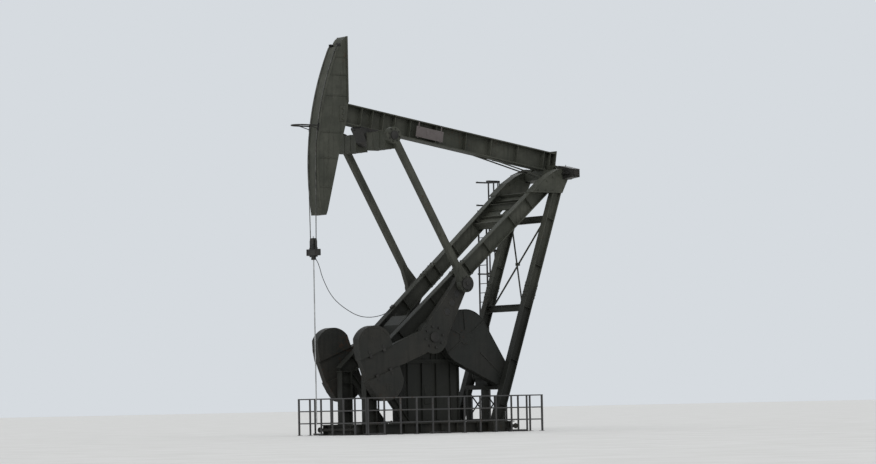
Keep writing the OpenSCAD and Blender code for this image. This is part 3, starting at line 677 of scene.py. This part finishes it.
def horsehead_details():
    """Ribs and welds on both cheeks, bars on the rear edge, splice plates, and the face's guide bars."""
    piece = Piece("head_fittings", "walking_beam", "olive_paint", moved(PIVOT))
    face_t, rear_edge = 0.04, -7.86
    rib_r = FACE_R - face_t - 0.01
    # Each rib's height above the pivot, and where it ends at the back, which slopes low down
    ribs = [(z, -8.12 - (1.2 - z) * 0.27) for z in (-0.55, 0.35, 1.15)]
    ribs += [(z, rear_edge) for z in (2.3, 2.95, 3.5)]
    for side in SIDES:
        y = side * HEAD_HALF
        piece.tube(arc((0, y, 0), FACE_R - face_t - 0.005, 187, 157, 15), 0.008)
        piece.tube(arc((0, y, 0), FACE_R - 0.42, 184, 158, 13), 0.006)
        for z, back in ribs:
            piece.box((-math.sqrt(rib_r ** 2 - z * z), y - 0.02, z - 0.008), (back, y + 0.02, z + 0.008))
        piece.box((rear_edge - 0.04, y - 0.03, 2.1), (rear_edge + 0.01, y + 0.03, 4.17), 0.003)
        splice_y = (y - 0.02, y + 0.035)
        piece.box((-8.2, splice_y[0], 1.5), (-7.99, splice_y[1], 1.98), 0.004)
        for z in (1.58, 1.74, 1.9):
            piece.bolt((-8.09, splice_y[side == FAR], z), (0, side, 0), 0.05)
    for degrees in range(-8, 25, 2):
        for side in SIDES:
            middle = (FACE_R - 0.024) * direction(180 - degrees) + Vector((0, side * FACE_HALF, 0))
            piece.block(middle, (0.024, 0.01, 0.08))
    piece.made()


def rope_ends():
    """Two bolted cheek plates at the upper end of each rope."""
    end = moved(on_face(ROPE_TOP - 0.2))
    piece = Piece("rope_ends", "walking_beam", "dark_steel", end)
    for side in SIDES:
        for way in SIDES:
            y = side * ROPE_Y + way * 0.032
            piece.box((-0.006, y - 0.007, -0.07), (0.11, y + 0.007, 0.05), 0.003)
            piece.bolt((0.03, y + way * 0.007, -0.02), (0, way, 0), 0.024)
    piece.made()


def keeper_loop():
    """The wireline keeper: a bar bent to a loop round the ropes, with room for them at every pose."""
    rise, straight, reach, half = 1.35, 0.52, 0.82, 0.25
    level = math.asin(rise / FACE_R)
    out = Vector((-math.cos(level), 0, -math.sin(level)))
    seat_x, face_x = 0.002 - FACE_R, -FACE_R - 0.012
    foot = Vector((seat_x, 0, 0))
    loop = Piece("keeper_loop", "walking_beam", "dark_steel", turned(PIVOT, math.degrees(level)))
    bend = [(straight + (reach - straight) * math.cos(a), half * math.sin(a))
            for a in (math.radians(15 * k - 90) for k in range(13))]
    route = [(0.0, -half)] + bend + [(0.0, half)]
    bar_r, brace_r = 0.022, 0.013
    loop.tube([foot + t * out + Vector((0, y, 0)) for t, y in route], bar_r, 10)
    for side in SIDES:
        y = side * half
        arm = foot + Vector((0, y, 0))
        loop.rod(arm - Vector((0, 0, 0.11)), arm + 0.42 * out, brace_r, 12)
        loop.box((face_x, y - 0.03, -0.17), (seat_x, y + 0.03, 0.07), 0.003)
        for z in (-0.148, -0.055, 0.05):
            loop.bolt((face_x, y, z), (-1, 0, 0), 0.02)
    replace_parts(loop.made(), "wireline_keeper")


def saddle_details():
    """Seat bolts, stiffeners, end plates and welds of the saddle."""
    piece = Piece("saddle_fittings", "walking_beam", "olive_paint", BEAM)
    piece.bolts((-0.17, 0.17), (-0.15, 0.15), BEAM_SEAT + BEAM_TF, 1, 0.06)
    for side in SIDES:
        for x in (-0.13, 0.13):
            piece.box((x - 0.008, side * 0.32, 0.08), (x + 0.008, side * 0.6, 0.15))
        piece.box((-0.17, side * 0.78, -0.13), (0.17, side * 0.8, 0.1), 0.004)
        piece.weld((-0.062, side * 0.22, BEAM_SEAT + 0.16), (-0.062, side * 0.79, 0.11))
    piece.made()


def bearing_details():
    """End caps, clamp bars, foot plates, bolts and grease nipples of the saddle's bearings."""
    piece = Piece("bearing_caps", "frame", "dark_steel", moved(PIVOT))
    cap_y, cap_t, foot_z = 1.645, 0.03, -0.135
    for side in SIDES:
        piece.rod((0, side * cap_y, 0), (0, side * (cap_y + cap_t), 0), 0.125)
        piece.bolt_ring((0, side * (cap_y + cap_t), 0), side, 0.095, 6, 0.028)
        for x in (-0.16, 0.16):
            piece.box((x - 0.05, side * 0.93, -0.03), (x + 0.05, side * 1.5, 0.03), 0.006)
            piece.bolts((x,), (side * 1.0, side * 1.2, side * 1.4), 0.03, 1, 0.05)
        piece.box((-0.26, side * 0.91, foot_z - 0.035), (0.24, side * 1.14, foot_z), 0.004)
        piece.bolts((-0.22, 0.2), (side * REAR_Y,), foot_z, 1, 0.055)
        piece.rod((0.06, side * 1.05, 0.25), (0.06, side * 1.05, 0.3), 0.012)
    piece.made()


def yoke_details():
    """Collars and corner welds on the yoke's arms, and the through bolts of its bearing on the beam."""
    piece = Piece("yoke_fittings", "yoke", "olive_paint", moved(YOKE_PIN))
    proud = 0.012
    for side in SIDES:
        for y in (0.31, 0.62, 0.96, 1.27):
            piece.block((0, side * y, -YOKE_SAG), (YOKE_W + 2 * proud, 0.024, YOKE_D + 2 * proud), 0.003)
        for x in (-YOKE_W / 2, YOKE_W / 2):
            for z in (-YOKE_D / 2 - YOKE_SAG, YOKE_D / 2 - YOKE_SAG):
                piece.weld((x, side * 0.3, z), (x, side * 1.3, z), 0.006)
    piece.made()
    through = Piece("yoke_bearing_covers", "walking_beam", "dark_steel", moved(YOKE_PIN))
    for x in (-0.17, 0.17):
        through.rod((x, -0.284, -0.06), (x, 0.284, -0.06), 0.022)
    through.made()


def pitman_details():
    """Bearing covers, bolt rings, welds and cross strips of the two pitmans."""
    length = (WRIST - YOKE_PIN).length
    piece = Piece("pitman_fittings", "yoke", "olive_paint", along(YOKE_PIN, WRIST))
    metal = Piece("pitman_covers", "yoke", "dark_steel", piece.at)
    for side in SIDES:
        y = side * PITMAN_OUT
        metal.rod((length, y, 0), (length, y + side * 0.04, 0), 0.185)
        metal.bolt_ring((length, y, 0), side, 0.228, 10, 0.036)
        metal.rod((length, y + side * 0.04, 0), (length, y + side * 0.07, 0), 0.06)
        metal.rod((0, y, 0), (0, y + side * 0.03, 0), 0.14)
        metal.bolt_ring((0, y, 0), side, 0.2, 8, 0.036)
        for z in (-0.085, 0.085):
            piece.weld((0.24, y, z), (length - 0.3, y, z), 0.008)
        for x in (1.2, 2.4, 3.6):
            piece.block((x, y, 0), (0.02, 0.012, 0.18))
        piece.box((length - 0.56, y - 0.01, -0.075), (length - 0.5, y + 0.014, 0.075), 0.004)
    piece.made()
    metal.made()


def crank_details():
    """Black discs of painted shade in the spare wrist pin bores, hub covers and bolts, raised edges and the wrist
    pins' nuts.
    """
    piece = Piece("crank_edges", "cranks", "counterweight_paint", CRANK)
    metal = Piece("crank_fittings", "cranks", "dark_steel", CRANK)
    hole_shade = Piece("crank_hole_shade", "cranks", "belt_rubber", CRANK)
    hole_r, rim_r = 0.108, 0.118
    for side in SIDES:
        y = side * CRANK_OUT
        for x in (1.64, 1.3, 0.96):
            piece.tube(arc((x, y, 0), rim_r), 0.012)
            # Each bore is a near-black disc flush with the face: painted shade where the crank is open.
            hole_shade.rod((x, y - 0.002, 0), (x, y + 0.002, 0), hole_r, 32)
        metal.rod((0, y, 0), (0, y + side * 0.055, 0), 0.16)
        metal.bolt_ring((0, y, 0), side, 0.33, 8, 0.06)
        metal.rod((CRANK_R, side * 1.03, 0), (CRANK_R, side * 0.96, 0), 0.1)
        metal.rod((CRANK_R, side * 0.96, 0), (CRANK_R, side * 0.9, 0), 0.075, 6)
        for edge in SIDES:
            piece.weld((0.06, y, edge * 0.44), (CRANK_R, y, edge * 0.225), 0.012)
    piece.made()
    metal.made()
    hole_shade.made()


def counterweight_details():
    """T-bolts and clamps that hold the weights, their cast rims and bosses, and welds on the cranks."""
    piece = Piece("weight_fittings", "cranks", "dark_steel", WEIGHTS)
    cast = Piece("weight_castings", "cranks", "counterweight_paint", WEIGHTS)
    for side in SIDES:
        face = side * WEIGHT_OUT
        for edge in SIDES:
            for x in (1.95, 2.5):
                piece.rod((x, face, edge * 0.45), (x, face + side * 0.011, edge * 0.45), 0.045, 6)
                piece.box((x - 0.05, face - side * 0.05, edge * 0.33 - 0.05),
                          (x + 0.05, face + side * 0.004, edge * 0.33 + 0.05), 0.002)
            cast.tube([(p.x, p.y, edge * p.z) for p in arc((2.24, face, 0.52), 0.6, 12, 164, 19)], 0.009)
            boss_z = edge * 0.8
            cast.rod((2.2, face, boss_z), (2.2, face + side * 0.006, boss_z), 0.13, 32)
            cast.rod((2.2, face + side * 0.006, boss_z), (2.2, face + side * 0.01, boss_z), 0.05)
        for z in (-0.35, 0.35):
            cast.weld((0.5, side * CRANK_OUT, z), (1.5, side * CRANK_OUT, z), 0.012)
    piece.made()
    cast.made()


def stiffeners(piece, places, depth, width):
    """Cross plates between the flanges, on both sides of the web."""
    z = depth / 2 - LEG_TF
    for x in places:
        for side in SIDES:
            piece.box((x - 0.006, side * LEG_TW / 2, -z), (x + 0.006, side * (width / 2 - 0.008), z))


def splice(piece, x, depth, width, half):
    """Bolted splice plates on both flanges."""
    plate_t = 0.016
    for up in (-1, 1):
        face = up * (depth / 2 + plate_t)
        wide = width / 2 - 0.01
        piece.box((x - half, -wide, up * depth / 2), (x + half, wide, face), 0.002)
        places = [x + k * half * 0.4 for k in (-2, -1, 1, 2)]
        piece.bolts(places, (-width * 0.3, width * 0.3), face, up, 0.036)


def front_leg_details():
    """Stiffeners, splice plates and web welds of the front legs."""
    for side, word in SIDE_WORDS:
        piece = Piece(f"front_leg_fittings_{word}", at=along(*front_leg_line(side)))
        stiffeners(piece, (0.5, 1.6, 3.2, 4.4, 4.9, 5.9, 7.2, 8.1), FRONT_D, FRONT_W)
        splice(piece, 4.65, FRONT_D, FRONT_W, 0.34)
        for y in (-LEG_TW / 2, LEG_TW / 2):
            for z in (-FRONT_D / 2 + LEG_TF, FRONT_D / 2 - LEG_TF):
                piece.weld((0.3, y, z), (8.1, y, z))
        piece.made()


def junction_box():
    """Lid and screws of the box on the far front leg."""
    piece = Piece("junction_box", "frame", "rail_paint", along(*front_leg_line(FAR)))
    middle, top, lid_t = 2.77, FRONT_D / 2 + 0.06, 0.008
    piece.box((middle - 0.066, -0.056, top), (middle + 0.066, 0.056, top + lid_t), 0.002)
    for x in (middle - 0.055, middle + 0.055):
        for y in (-0.044, 0.044):
            piece.rod((x, y, top + lid_t), (x, y, top + lid_t + 0.004), 0.006, 12)
    piece.made()


def rear_leg_details():
    """Stiffeners and splice plates of the rear legs."""
    for side, word in SIDE_WORDS:
        piece = Piece(f"rear_leg_fittings_{word}", at=along(*rear_leg_line(side)))
        stiffeners(piece, (0.9, 2.4, 4.17, 5.6, 7.19), REAR_D, REAR_W)
        splice(piece, 4.75, REAR_D, REAR_W, 0.26)
        piece.made()


def tie_details():
    """Bolted end plates of the ties, gussets of the rear X brace and the block where its rods cross."""
    piece = Piece("tie_fittings")

    def end_plate(x, y, z, width, height):
        piece.block((x, y, z), (width, 0.016, height), 0.003)
        inward = -1 if y > 0 else 1
        for dx in (-0.05, 0.05):
            for dz in (-0.06, 0.06):
                piece.bolt((x + dx, y + inward * 0.008, z + dz), (0, inward, 0), 0.03)

    for z, up in zip(REAR_TIES, (1, -1)):
        x = rear_leg_x(z)
        for side in SIDES:
            end_plate(x, side * 0.96, z, 0.26, 0.32)
            piece.plate([(x - 0.06, z + up * 0.11), (x + 0.06, z + up * 0.11),
                         (x + 0.03 + up * 0.06, z + up * 0.34)], side * 0.83, 0.06)
    for x in FRONT_TIES:
        for side in SIDES:
            foot, top = front_leg_line(side)
            on_axis = foot.lerp(top, (x - foot.x) / (top.x - foot.x))
            end_plate(x, on_axis.y - side * 0.03, on_axis.z + 0.09, 0.24, 0.28)
    crossing_z = sum(REAR_TIES) / 2
    crossing = Vector((rear_leg_x(crossing_z), 0, crossing_z))
    half = Vector((0.058, 0, 0))
    piece.block(crossing, (2 * half.x, 0.1, 0.1), 0.004)
    piece.bolt(crossing + half, (1, 0, 0), 0.03)
    piece.bolt(crossing - half, (-1, 0, 0), 0.03)
    piece.made()


def leg_head_details():
    """Top plates, bolts and lower ribs of the boxes where front and rear legs meet."""
    piece = Piece("leg_head_fittings", at=moved(PIVOT))
    inner, outer, plate_in, plate_out, plate_t = 0.82, 1.15, 0.8, 1.165, 0.018
    # A box's top edge, and its bolts, as (x, z) from the pivot
    top = [(-1.409, -0.62), (-0.932, -0.21), (-0.56, 0.02), (-0.28, 0.144), (-0.16, 0.15)]
    bolts = [(-1.15, -0.54), (-0.85, -0.54), (-0.55, -0.54), (-0.8, -0.25), (-0.55, -0.12),
             (-0.35, -0.02)]
    for side in SIDES:
        for (xa, za), (xb, zb) in zip(top, top[1:]):
            n = Vector((za - zb, 0, xb - xa)).normalized() * plate_t
            outline = [(xa, za), (xb, zb), (xb + n.x, zb + n.z), (xa + n.x, za + n.z)]
            piece.plate(outline, side * (plate_in + plate_out) / 2, plate_out - plate_in)
        for y, way in ((side * outer, side), (side * inner, -side)):
            for x, z in bolts:
                piece.bolt((x, y, z), (0, way, 0), 0.042)
            piece.box((-1.3, y, -0.615), (-0.22, y + way * 0.012, -0.575))
    piece.made()


def cross_plate():
    """The wide web plate between the front legs under their heads, with its flanges and access hole."""
    low, top = front_leg_line(NEAR)
    piece = Piece("leg_cross_plate", at=along((low.x, 0, low.z), (top.x, 0, top.z)))
    start, end, half, web = 7.07, 8.5, 0.868, 0.01
    hole_start, hole_end, hole_near, hole_far = 7.61, 7.85, -0.05, 0.15
    for x0, x1 in ((start, hole_start), (hole_end, end)):
        piece.box((x0, -half, -web), (x1, half, web))
    for y0, y1 in ((-half, hole_near), (hole_far, half)):
        piece.box((hole_start, y0, -web), (hole_end, y1, web))
    for x in (start, end):
        piece.block((x, 0, 0), (0.024, 2 * half, 0.26), 0.003)
    for x in (start + 0.35, end - 0.3):
        piece.box((x - 0.006, -half, web), (x + 0.006, half, 0.1))
    for up in (1, -1):
        piece.bolts([start + 0.1 + k * 0.15 for k in range(9)], (-0.8, 0.8), up * web, up, 0.034)
    piece.made()


def stand_details():
    """Bolts, web stiffeners and gussets of the front stand."""
    piece = Piece("stand_fittings")
    end_plate, gusset_t = 0.03, 0.016
    for side in SIDES:
        piece.at = moved((STAND_X, side * FRONT_Y_LOW, 0))
        for z, up in ((SKID_H + end_plate, 1), (STAND_Z - end_plate, -1)):
            piece.bolts((-0.15, -0.07, 0.07, 0.15), (-0.085, 0.085), z, up, 0.036)
        for z in (0.75, 1.2, 1.62):
            for way in SIDES:
                piece.box((-0.174, way * LEG_TW / 2, z - 0.006), (0.174, way * 0.118, z + 0.006))
        piece.plate([(0.2, 1.72), (0.2, 1.96), (0.42, 1.56)], 0, gusset_t)
        piece.plate([(1.12, SKID_H), (1.62, SKID_H), (1.3, SKID_H + 0.26)], 0, gusset_t)
    piece.made()


def skid_details():
    """Web stiffeners, anchor bolts, pad bolts and the pull bars through the skid's ends."""
    piece = Piece("skid_fittings", "frame", "base_paint")
    washer_t, pull_z = 0.012, 0.17
    for side in SIDES:
        for x in (-2.5, -2.31, -1.91, -0.9, -0.3, 0.5, 1.1, 1.9, 2.9):
            for way in SIDES:
                piece.box((x - 0.006, side * SKID_Y + way * SKID_TW / 2, SKID_TF),
                          (x + 0.006, side * SKID_Y + way * (SKID_W / 2 - 0.007), SKID_H - SKID_TF))
        for x in (-2.7, 3.1):
            y, seat = side * (SKID_Y + 0.08), SKID_TF + washer_t
            piece.box((x - 0.05, y - 0.04, SKID_TF), (x + 0.05, y + 0.04, seat), 0.002)
            piece.rod((x, y, seat), (x, y, 0.12), 0.015, 16)
            for low, high in ((seat, 0.066), (0.068, 0.092)):
                piece.rod((x, y, low), (x, y, high), 0.027, 6)
        pad_x, pad_y = rear_leg_x(SKID_H), side * REAR_Y
        piece.bolts((pad_x - 0.19, pad_x + 0.19), (pad_y - 0.09, pad_y + 0.09), SKID_H, 1, 0.04)
    for x in (-2.84, 3.29):
        piece.rod((x, -1.0, pull_z), (x, 1.0, pull_z), 0.055)
        for side in SIDES:
            piece.rod((x, side * 1.0, pull_z), (x, side * 1.02, pull_z), 0.085)
    piece.made()


def gearbox_details():
    """Flange bolts, ribs, bearing covers, inspection cover, breather, lifting lugs and drain plugs."""
    piece = Piece("gearbox_fittings")
    flange_low, flange_top, foot_top = SHAFT.z - 0.05, SHAFT.z + 0.05, GEAR_LOW + 0.06
    hub_y, hub_r, roof_z, lid_top = 0.57, 0.36, 3.56, 3.585
    for side in SIDES:
        for x in (-0.6, -0.42, 0.44, 0.62, 1.16, 1.22, 1.8):
            for low, high in ((foot_top, flange_low), (flange_top, 3.33)):
                piece.box((x - 0.012, side * 0.42, low), (x + 0.012, side * 0.466, high), 0.003)
        piece.bolt_ring((0, side * hub_y, SHAFT.z), side, 0.255, 10, 0.045)
        piece.rod((0, side * hub_y, SHAFT.z), (0, side * (hub_y + 0.012), SHAFT.z), 0.31, 48)
        piece.bolt_ring((0.86, side * GEAR_HALF, SHAFT.z), side, 0.175, 8, 0.034)
    clear_of_hub = [x for x in (-0.76 + k * 0.184 for k in range(16)) if abs(x) > hub_r]
    for z, up in ((flange_top, 1), (flange_low, -1)):
        piece.bolts(clear_of_hub, (-0.452, 0.452), z, up, 0.04)
    piece.bolts([-0.565 + k * 0.3325 for k in range(8)], (-0.445, 0.445), foot_top, 1, 0.036)
    piece.box((-0.8, -0.47, GEAR_LOW), (2.0, 0.47, foot_top), 0.006)
    piece.bolt_ring((INPUT_X, GEAR_HALF, SHAFT.z), FAR, 0.125, 6, 0.03)
    piece.box((0.82, -0.28, roof_z), (1.46, 0.28, lid_top), 0.004)
    piece.bolts((0.87, 1.14, 1.41), (-0.24, 0.24), lid_top, 1, 0.024)
    piece.rod((1.6, 0.1, roof_z), (1.6, 0.1, 3.68), 0.03, 20)
    piece.rod((1.6, 0.1, 3.68), (1.6, 0.1, 3.74), 0.055, end_r=0.035)
    for x, z in ((-0.3, 3.7), (1.55, roof_z)):
        for side in SIDES:
            piece.plate([(x - 0.07, z), (x + 0.07, z), (x + 0.035, z + 0.1), (x - 0.035, z + 0.1)],
                        side * 0.32, 0.024)
    for z, r in ((2.42, 0.03), (2.7, 0.022)):
        piece.rod((1.98, 0.2, z), (2.02, 0.2, z), r, 6)
    piece.made()


def pedestal_details():
    """Ribs, foot bolts and bolted covers of the gearbox's pedestal."""
    piece = Piece("pedestal_fittings")
    wall, foot_z = 0.36, 0.39
    for side in SIDES:
        for x in (-0.45, 0.1, 0.65, 1.2, 1.5):
            piece.box((x - 0.01, side * wall, foot_z), (x + 0.01, side * 0.42, 2.2), 0.003)
        piece.box((0.2, side * wall, 0.9), (0.58, side * (wall + 0.012), 1.5), 0.01)
        piece.bolt_ring((0.39, side * (wall + 0.012), 1.2), side, 0.15, 6, 0.024)
    piece.bolts([-0.55 + k * 0.43 for k in range(6)], (-0.4, 0.4), foot_z, 1, 0.04)
    piece.made()


def guard_details():
    """Folded rims, ribs and the two bolted cover plates of the belt guard."""
    piece = Piece("guard_fittings", "frame", "base_paint")
    big, small = Vector((INPUT_X, 0, SHAFT.z)), Vector((MOTOR_X, 0, MOTOR_Z))
    v = small - big
    turn = math.degrees(math.atan2(v.z, v.x))
    lean = math.degrees(math.acos((GUARD_BIG - GUARD_SMALL) / v.length))
    outline = arc(big, GUARD_BIG, turn + lean, turn + 360 - lean, 48)
    outline += arc(small, GUARD_SMALL, turn - lean, turn + lean, 20)
    for y in (GUARD_OUT, (GUARD_OUT + GUARD_IN) / 2, GUARD_IN):
        piece.tube([(p.x, y, p.z) for p in outline + outline[:1]], 0.013)
    rib_y, cover_y = GUARD_OUT - 0.02, GUARD_OUT - 0.012
    for degrees in (35, 95, 155, 215):
        piece.at = turned(big, -degrees)
        piece.box((0.24, rib_y, -0.02), (GUARD_BIG - 0.02, GUARD_OUT, 0.02), 0.003)
    piece.at = turned(small, -turn)
    piece.box((-1.1, rib_y, -0.02), (GUARD_SMALL - 0.02, GUARD_OUT, 0.02), 0.003)
    piece.at = WORLD
    for hub, r, sides, count, across in ((big, 0.24, 40, 8, 0.024), (small, 0.15, 32, 6, 0.02)):
        cover = Vector((hub.x, cover_y, hub.z))
        piece.rod(cover, (hub.x, GUARD_OUT, hub.z), r, sides)
        piece.bolt_ring(cover, NEAR, 0.2 if hub is big else 0.12, count, across)
    piece.made()


def motor_details():
    """Cooling fins, end covers, terminal box, lifting eye, foot bolts and fan grille of the motor."""
    piece = Piece("motor_fittings", "frame", "motor_paint")
    fins, bare_below = 28, 45
    for k in range(fins):
        degrees = 360 * k / fins
        if abs(degrees - 270) >= bare_below:
            piece.at = turned((MOTOR_X, 0, MOTOR_Z), -degrees)
            piece.box((0.262, -0.38, -0.005), (0.3, 0.28, 0.005))
    piece.at = moved((MOTOR_X, 0, MOTOR_Z))
    for y in (-0.44, -0.4, 0.3):
        piece.rod((0, y, 0), (0, y + 0.035, 0), 0.287, 40)
    piece.bolt_ring((0, -0.44, 0), NEAR, 0.22, 8, 0.024)
    piece.box((0.24, -0.16, 0.02), (0.42, 0.12, 0.24), 0.012)
    piece.box((0.42, -0.15, 0.03), (0.43, 0.11, 0.23), 0.003)
    piece.rod((0, -0.05, 0.28), (0, -0.05, 0.33), 0.02, 16)
    piece.tube(arc((0, -0.05, 0.36), 0.04, steps=16), 0.01)
    piece.bolts((-0.189, 0.189), (-0.3, 0.18), -0.14, 1, 0.034)
    for r in (0.04, 0.08, 0.12, 0.16, 0.2):
        piece.tube(arc((0, 0.436, 0), r, steps=24), 0.004, 5)
    piece.made()


def platform_details():
    """Edge plates, motor rails and crossed braces of the motor's platform."""
    piece = Piece("platform_fittings")
    deck = MOTOR_Z - 0.34
    for x in (2.47, 3.32):
        piece.box((x, -0.49, deck - 0.125), (x + 0.01, 0.53, deck + 0.02), 0.002)
    for y in (-0.34, 0.2):
        piece.box((2.56, y - 0.04, deck), (3.28, y + 0.04, deck + 0.025), 0.003)
    for y in (-0.4, 0.44):
        for front_z, rear_z in ((0.45, 1.3), (1.3, 0.45)):
            piece.rod((2.52, y, front_z), (3.25, y, rear_z), 0.022, 12)
    piece.made()


def ladder_details():
    """Foot plates with their bolts, and the bolts of the cage's hoops."""
    foot_t, hoop_low, hoop_gap = 0.012, 5.125, 0.75
    piece = Piece("ladder_fittings", "frame", "rail_paint")
    for side in SIDES:
        piece.at = moved((LADDER_X, LADDER_Y + side * (LADDER_W / 2 + 0.008), 0))
        piece.block((0, 0, foot_t / 2), (0.18, 0.08, foot_t), 0.002)
        for x in (-0.06, 0.06):
            piece.rod((x, 0, foot_t), (x, 0, 0.04), 0.014, 6)
        for k in range(5):
            piece.bolt((0.02, side * 0.009, hoop_low + k * hoop_gap), (0, side, 0), 0.02)
    piece.made()


def fence_details():
    """Foot plates of all posts, and caps on those of the long sides."""
    piece = Piece("fence_fittings", "frame", "rail_paint")
    bays, end_bay = 11, 0.6254
    bay = (FENCE_REAR - FENCE_FRONT - FENCE_POST) / bays
    foot = (0.12, 0.12, 0.01)
    for side in SIDES:
        for k in range(bays + 1):
            x = FENCE_FRONT + k * bay + FENCE_POST / 2
            piece.block((x, side * 1.862, 0.005), foot)
            piece.block((x, side * 1.898, FENCE_H - 0.006), (0.048, 0.048, 0.012), 0.002)
    for x in (FENCE_FRONT, FENCE_REAR):
        for k in range(1, 6):
            piece.block((x, FENCE_POST / 2 - FENCE_Y + k * end_bay, 0.005), foot)
    piece.made()


add_camera()
MATERIALS = make_materials()
load_cell_cable()
add_stage()
dress_cad_nodes()
face_ropes()
hanging_ropes()
rope_sockets()
hanger_details()
beam_details()
name_plate()
horsehead_details()
rope_ends()
keeper_loop()
saddle_details()
bearing_details()
yoke_details()
pitman_details()
crank_details()
counterweight_details()
front_leg_details()
junction_box()
rear_leg_details()
tie_details()
leg_head_details()
cross_plate()
stand_details()
skid_details()
gearbox_details()
pedestal_details()
guard_details()
motor_details()
platform_details()
ladder_details()
fence_details()
